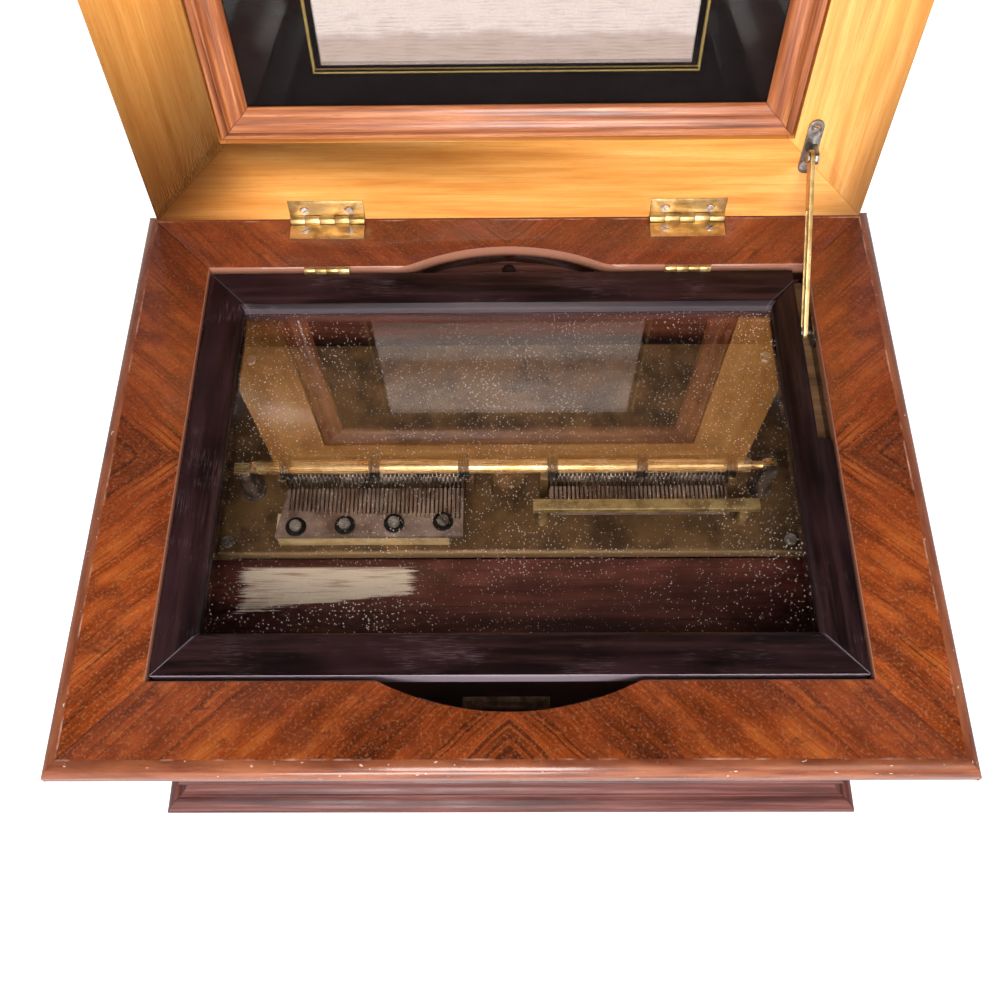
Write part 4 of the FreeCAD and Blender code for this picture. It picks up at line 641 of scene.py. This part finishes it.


# The movement is an iron bedplate with two tuned combs, two gantries of star wheels and a bar over them.
# Gilding on cast iron is a dull greenish gold, cloudy and speckled, with a painted highlight along the
# plate's front edge.
# Comb steel is brown and brushed, brass is cast, filed or polished, and the star wheels are dark steel.
BEDPLATE_HIGHLIGHT_BAND = (-0.0352, -0.0364)
GILT_MARKS, COMB_BRUSHING, CAST_MARKS = (0.02, 0.02, 0.02), (0.0006, 0.02, 0.02), (0.012, 0.002, 0.002)
FILE_MARKS, POLISH_MARKS, WHEEL_MARKS = (0.012, 0.0008, 0.0008), (0.02, 0.0008, 0.0008), (0.002, 0.002, 0.002)
BEDPLATE_SOFTEN, COMB_SOFTEN, FITTING_SOFTEN = 0.0008, 0.00012, 0.0003
BAR_SOFTEN, WHEEL_SOFTEN = 0.0002, 0.0001
gilt = metal("gilt cast iron", "gilt", "785838", "4c3622", GILT_MARKS, rough=(0.4, 0.6), patch=0.03, bare=0.5)
tree = gilt.node_tree
shader = tree.nodes["Principled BSDF"]
# Painted highlight: a pale gold band along the bedplate's front edge.
edge_highlight = node(tree, "SeparateXYZ", {0: node(tree, "TexCoord").outputs["Object"]}).outputs[1]
edge_highlight = tinted(tree, "000000", edge_highlight, *BEDPLATE_HIGHLIGHT_BAND, "d0a878", 0.6)
brighter = node(tree, "Mix", {0: 1.0, 6: shader.inputs["Base Color"].links[0].from_socket, 7: edge_highlight},
                data_type="RGBA", blend_type="LIGHTEN")
tree.links.new(brighter.outputs[2], shader.inputs["Base Color"])
comb_steel = metal("brown comb steel", "steel", "a68e84", "785f56", COMB_BRUSHING, rough=(0.35, 0.5),
                   patch=0.02, bare=0.6)
cast_brass = metal("cast brass", "brass", "c0a470", "8a7048", CAST_MARKS, rough=(0.35, 0.5), bare=0.7)
filed_brass = metal("filed brass", "brass", "ecd0a0", "c4a874", FILE_MARKS, rough=(0.3, 0.45), bare=0.4)
wheel_steel = metal("star wheel steel", "steel", "7a6a62", "4a3e3a", WHEEL_MARKS, bare=0.7)
bar_brass = metal("polished bar brass", "brass", "f0cc98", "cc9c64", POLISH_MARKS, rough=(0.2, 0.35),
                  bare=0.85)
for name, finish, soften in (
    ("bedplate", gilt, BEDPLATE_SOFTEN),
    ("left_comb", comb_steel, COMB_SOFTEN),
    ("right_comb", comb_steel, COMB_SOFTEN),
    ("left_comb_base", filed_brass, FITTING_SOFTEN),
    ("right_comb_bar", cast_brass, FITTING_SOFTEN),
    ("right_comb_pillars", cast_brass, FITTING_SOFTEN),
    ("star_gantries", gilt, FITTING_SOFTEN),
    ("bar_posts", wheel_steel, FITTING_SOFTEN),
    ("disc_spindle", gilt, FITTING_SOFTEN),
    ("pressure_bar", bar_brass, BAR_SOFTEN),
    ("star_wheels_left", wheel_steel, WHEEL_SOFTEN),
    ("star_wheels_right", wheel_steel, WHEEL_SOFTEN),
):
    dressed(name, finish, soften)

# The left comb's screws stand on thick turned washers, and the right comb is screwed to its bar from below.
# The rollers that hold a disc down are dark turned steel, with a groove round the middle of each.
COMB_SCREWS = ((-0.133, -0.0265), (-0.1023, -0.0254), (-0.0716, -0.0243), (-0.0409, -0.0232))
COMB_SCREW_TURNS, COMB_SCREW_TOP, COMB_TOP = (0.7, 0.1, 0.2, 2.3), 0.148, 0.144
BAR_SCREW_X, BAR_SCREW_Y, BAR_SCREW_HEAD = (0.03128, 0.08228, 0.13328), -0.0147, 0.1409
WASHER = ((0.0021, 0), (0.0062, 0), (0.0065, 0.0003), (0.0065, 0.0010), (0.0061, 0.0014), (0.0021, 0.0014))
ROLLER = ((0.0046, -0.0033), (0.0073, -0.0033), (0.00815, -0.0028), (0.00815, -0.0018), (0.0071, -0.0012),
          (0.0071, 0.0012), (0.00815, 0.0018), (0.00815, 0.0028), (0.0073, 0.0033), (0.0046, 0.0033))
ROLLER_X, ROLLER_Y, ROLLER_Z = (-0.13875, -0.08325, -0.02775, 0.02775, 0.08325, 0.13875), 0.0075, 0.160
COMB_SCREW = slotted_screw(0.0036, 0.0026, 0.0019, 0.011)
BAR_SCREW = slotted_screw(0.0029, 0.0021, 0.0016, 0.0065)
roller_steel = metal("dark roller steel", "roller_steel", "241e1c", "120f0e", WHEEL_MARKS,
                     rough=(0.25, 0.42), bare=0.3)
washer = meshed("washer", lathed(WASHER, 36, closed=True))
bm = bmesh.new()
for x, y in COMB_SCREWS:
    put(bm, washer, (x, y, COMB_TOP))
settled("comb_washers", bm, roller_steel, "case", "comb_fasteners")
bm = bmesh.new()
for (x, y), turn in zip(COMB_SCREWS, COMB_SCREW_TURNS):
    put(bm, COMB_SCREW, (x, y, COMB_SCREW_TOP), turn=turn)
for at, x in enumerate(BAR_SCREW_X):
    put(bm, BAR_SCREW, (x, BAR_SCREW_Y, BAR_SCREW_HEAD), lean=pi, turn=at)
settled("comb_slotted_screws", bm, screw_steel, "case", "comb_fasteners")
roller = meshed("roller", lathed(ROLLER, 48, closed=True))
bm = bmesh.new()
for x in ROLLER_X:
    put(bm, roller, (x, ROLLER_Y, ROLLER_Z), lean=pi / 2, about="Y")
settled("grooved_rollers", bm, roller_steel, "rollers", "pressure_rollers")


# The deck is a varnished board let in between the walls, from the front wall back to the bedplate.
# Its varnish is dark, with a painted shade that makes it nearly black toward the front, and a pale patch with
# ragged ends that is a painted reflection.
DECK = ((0.30, "3e1e1b"), (0.5, "66352f"), (0.7, "7e473e"))
DECK_BANDS, DECK_GRAIN, DECK_STAINS = (0.15, 0.014, 0.014), (0.06, 0.0016, 0.0016), (0.05, 0.03, 0.03)
DECK_SHADE, STAINS_AT = (-0.075, -0.125), (0.2, 0, 0)
PATCH_AT, PATCH_HALF, PATCH_RAGS = (-0.116, -0.0595), (0.052, 0.0160), (0.030, 0.0014, 0.01)
deck, tree = surface("varnished deck", "shelf", Specular_IOR_Level=0.4)
split = node(tree, "SeparateXYZ", {0: node(tree, "TexCoord").outputs["Object"]})
grain = streaks(tree, DECK_GRAIN, detail=5)
base = node(tree, "ValToRGB", {0: streaks(tree, DECK_BANDS, detail=3)}, DECK)
base = tinted(tree, base, grain, 0.5, 0.7, "2c1412", 0.6)
base = tinted(tree, base, streaks(tree, DECK_STAINS, at=STAINS_AT), 0.45, 0.65, "3a1c1a", 0.7)
# Painted shade: the deck goes nearly black toward the front.
base = tinted(tree, base, split.outputs[1], *DECK_SHADE, "1c0d0c", 0.8)
# The painted reflection lies where three measures from the patch's middle are all small: toward its lower
# edge, which rises to the right, toward its ends, and toward its upper edge. Noise makes the first two
# ragged.
offsets = []
for axis in (0, 1):
    offset = node(tree, "Math", {0: split.outputs[axis], 1: PATCH_AT[axis]}, operation="SUBTRACT")
    offsets.append(node(tree, "Math", {0: offset, 1: PATCH_HALF[axis]}, operation="DIVIDE"))
ragged = streaks(tree, PATCH_RAGS, detail=4)
lower = node(tree, "Math", {0: offsets[0], 1: 0.34, 2: 0.30}, operation="MULTIPLY_ADD")
lower = node(tree, "Math", {0: lower, 1: offsets[1]}, operation="SUBTRACT")
lower = node(tree, "Math", {0: ragged, 1: 1.1, 2: lower}, operation="MULTIPLY_ADD")
ends = node(tree, "Math", {0: offsets[0]}, operation="ABSOLUTE")
ends = node(tree, "Math", {0: ragged, 1: 0.5, 2: ends}, operation="MULTIPLY_ADD")
upper = node(tree, "Math", {0: offsets[1], 1: 0.25}, operation="ADD")
furthest = node(tree, "Math", {0: lower, 1: ends}, operation="MAXIMUM")
furthest = node(tree, "Math", {0: furthest, 1: upper}, operation="MAXIMUM")
bare = node(tree, "MapRange", {0: furthest, 1: 1.32, 2: 1.22})
# Painted reflection: a pale grained patch laid over the varnish.
painted_reflection = tinted(tree, "f0decf", ragged, 0.52, 0.66, "a8826c", 0.8)
base = node(tree, "Mix", {0: bare, 6: base, 7: painted_reflection}, data_type="RGBA")
finished(tree, base, (0.3, 0.45), grain, grain, 0.0001)
dressed("front_shelf", deck)

# A small coil spring of dull steel wire stands upright at the deck's right end. It is wound in equal turns,
# and its lowest end rests on the varnish.
SPRING_AT, SPRING_RADIUS, SPRING_FROM, SPRING_TO = (0.1835, -0.1010), 0.0042, 0.1180, 0.1480
SPRING_TURNS, TURN_POINTS, WIRE = 9, 12, 0.0006
coil = bpy.data.curves.new("crank_spring", "CURVE")
coil.dimensions, coil.bevel_depth, coil.bevel_resolution, coil.resolution_u = "3D", WIRE, 3, 4
winding = coil.splines.new("NURBS")
count = SPRING_TURNS * TURN_POINTS
winding.points.add(count)
for at in range(count + 1):
    angle = 2 * pi * at / TURN_POINTS
    z = SPRING_FROM + WIRE + (SPRING_TO - SPRING_FROM) * at / count
    x, y = SPRING_AT[0] + SPRING_RADIUS * cos(angle), SPRING_AT[1] + SPRING_RADIUS * sin(angle)
    winding.points[at].co = (x, y, z, 1)
winding.order_u, winding.use_endpoint_u = 3, True
spring = bpy.data.objects.new("crank_spring", coil)
coil.materials.append(dull_steel)
bpy.context.scene.collection.objects.link(spring)
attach(spring, "case")

# The lock plate is a strip of brass in the finger recess, dished down to a slot, and held by two screws to
# the front wall's top edge. The brass has gone nearly brown there.
LOCK_HALF, LOCK_THICK, LOCK_SLOT_HALF = (0.024, 0.0036), 0.0008, (0.0075, 0.0009)
LOCK_X, LOCK_SCREW_OUT, LOCK_SCREW_PROUD, LOCK_SCREW_TURN = -0.0015, 0.0195, 0.0005, 1.3
LOCK_SUNK, LOCK_SOFTEN, LOCK_RIM_ANGLE = 0.8, 0.00015, 1.2
LOCK_RUBS = (0.004, 0.0005, 0.004)
front_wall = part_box("front_wall")
lock_at = Vector((LOCK_X, front_wall[1][1] - LOCK_HALF[1], front_wall[1][2] + LOCK_THICK / 2))
bm = bmesh.new()
bmesh.ops.create_cube(bm, size=1)
bmesh.ops.scale(bm, vec=(2 * LOCK_HALF[0], 2 * LOCK_HALF[1], LOCK_THICK), verts=bm.verts)
top = [face for face in bm.faces if face.normal.z > 0.9]
bmesh.ops.inset_region(bm, faces=top, thickness=LOCK_HALF[1] - LOCK_SLOT_HALF[1])
for spot in {spot for face in top for spot in face.verts}:
    spot.co.x *= LOCK_SLOT_HALF[0] / (LOCK_HALF[0] - LOCK_HALF[1] + LOCK_SLOT_HALF[1])
    spot.co.z -= LOCK_THICK * LOCK_SUNK
rounded(bm, [edge for edge in bm.edges if edge.calc_face_angle(0) > LOCK_RIM_ANGLE], LOCK_SOFTEN)
bmesh.ops.translate(bm, vec=lock_at, verts=bm.verts)
for at, side in enumerate((-1, 1)):
    off = Vector((side * LOCK_SCREW_OUT, 0, LOCK_THICK / 2 + LOCK_SCREW_PROUD))
    put(bm, SMALL_SCREW, lock_at + off, turn=LOCK_SCREW_TURN + at)
lock_brass = metal("browned lock brass", "brass", "6a5038", "3a2a1e", LOCK_RUBS, bare=0.7)
settled("lock_plate", bm, lock_brass, "case")

# A glue block of the case's walnut is rubbed on behind the back wall, under the arch cut in the back rail,
# and closes the gap there. Its lower back edge is chamfered.
BLOCK_HALF, BLOCK_DEEP, BLOCK_HIGH = 0.045, 0.010, 0.014
BLOCK_CHAMFER, BLOCK_SOFTEN, BLOCK_EDGE_ANGLE = 0.006, 0.0005, 0.5
back_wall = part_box("back_wall")
bm = bmesh.new()
bmesh.ops.create_cube(bm, size=1)
bmesh.ops.scale(bm, vec=(2 * BLOCK_HALF, BLOCK_DEEP, BLOCK_HIGH), verts=bm.verts)
low_back = [edge for edge in bm.edges if all(spot.co.y > 0 and spot.co.z < 0 for spot in edge.verts)]
rounded(bm, low_back, BLOCK_CHAMFER, segments=1)
rounded(bm, [edge for edge in bm.edges if edge.calc_face_angle(0) > BLOCK_EDGE_ANGLE], BLOCK_SOFTEN)
block_at = (0, back_wall[1][1] + BLOCK_DEEP / 2, back_wall[1][2] - BLOCK_HIGH / 2)
bmesh.ops.translate(bm, vec=block_at, verts=bm.verts)
settled("rear_glue_block", bm, walnut, "case")

# A small turned button of wood, domed on top, is glued on the back wall's top edge inside the arch.
# It is ebonised like the glazed lid.
BUTTON = ((0, 0), (0.0046, 0), (0.0046, 0.0012), (0.0040, 0.0026), (0.0026, 0.0036), (0, 0.0040))
BUTTON_X, BUTTON_IN = 0.001, 0.0062
bm = lathed(BUTTON, 32)
bmesh.ops.translate(bm, vec=(BUTTON_X, back_wall[0][1] + BUTTON_IN, back_wall[1][2]), verts=bm.verts)
settled("arch_button", bm, ebony, "case")


# The spring motor hangs below the bedplate: an iron frame, the barrel, a fan governor and the winding gear.
# Its iron is blackened and matt, its barrel and governor are of the same cast brass as the comb's bar.
IRON_MARKS, GOVERNOR_SOFTEN, ARBOR_SOFTEN = (0.02, 0.02, 0.02), 0.0002, 0.0002
iron = metal("blackened iron", "iron", "38342f", "26221f", IRON_MARKS, rough=(0.45, 0.65))
dressed("motor_frame", iron)
dressed("spring_barrel", cast_brass)
dressed("governor", cast_brass, GOVERNOR_SOFTEN)
dressed("winding_gear_box", iron)
dressed("winding_arbor", screw_steel, ARBOR_SOFTEN)
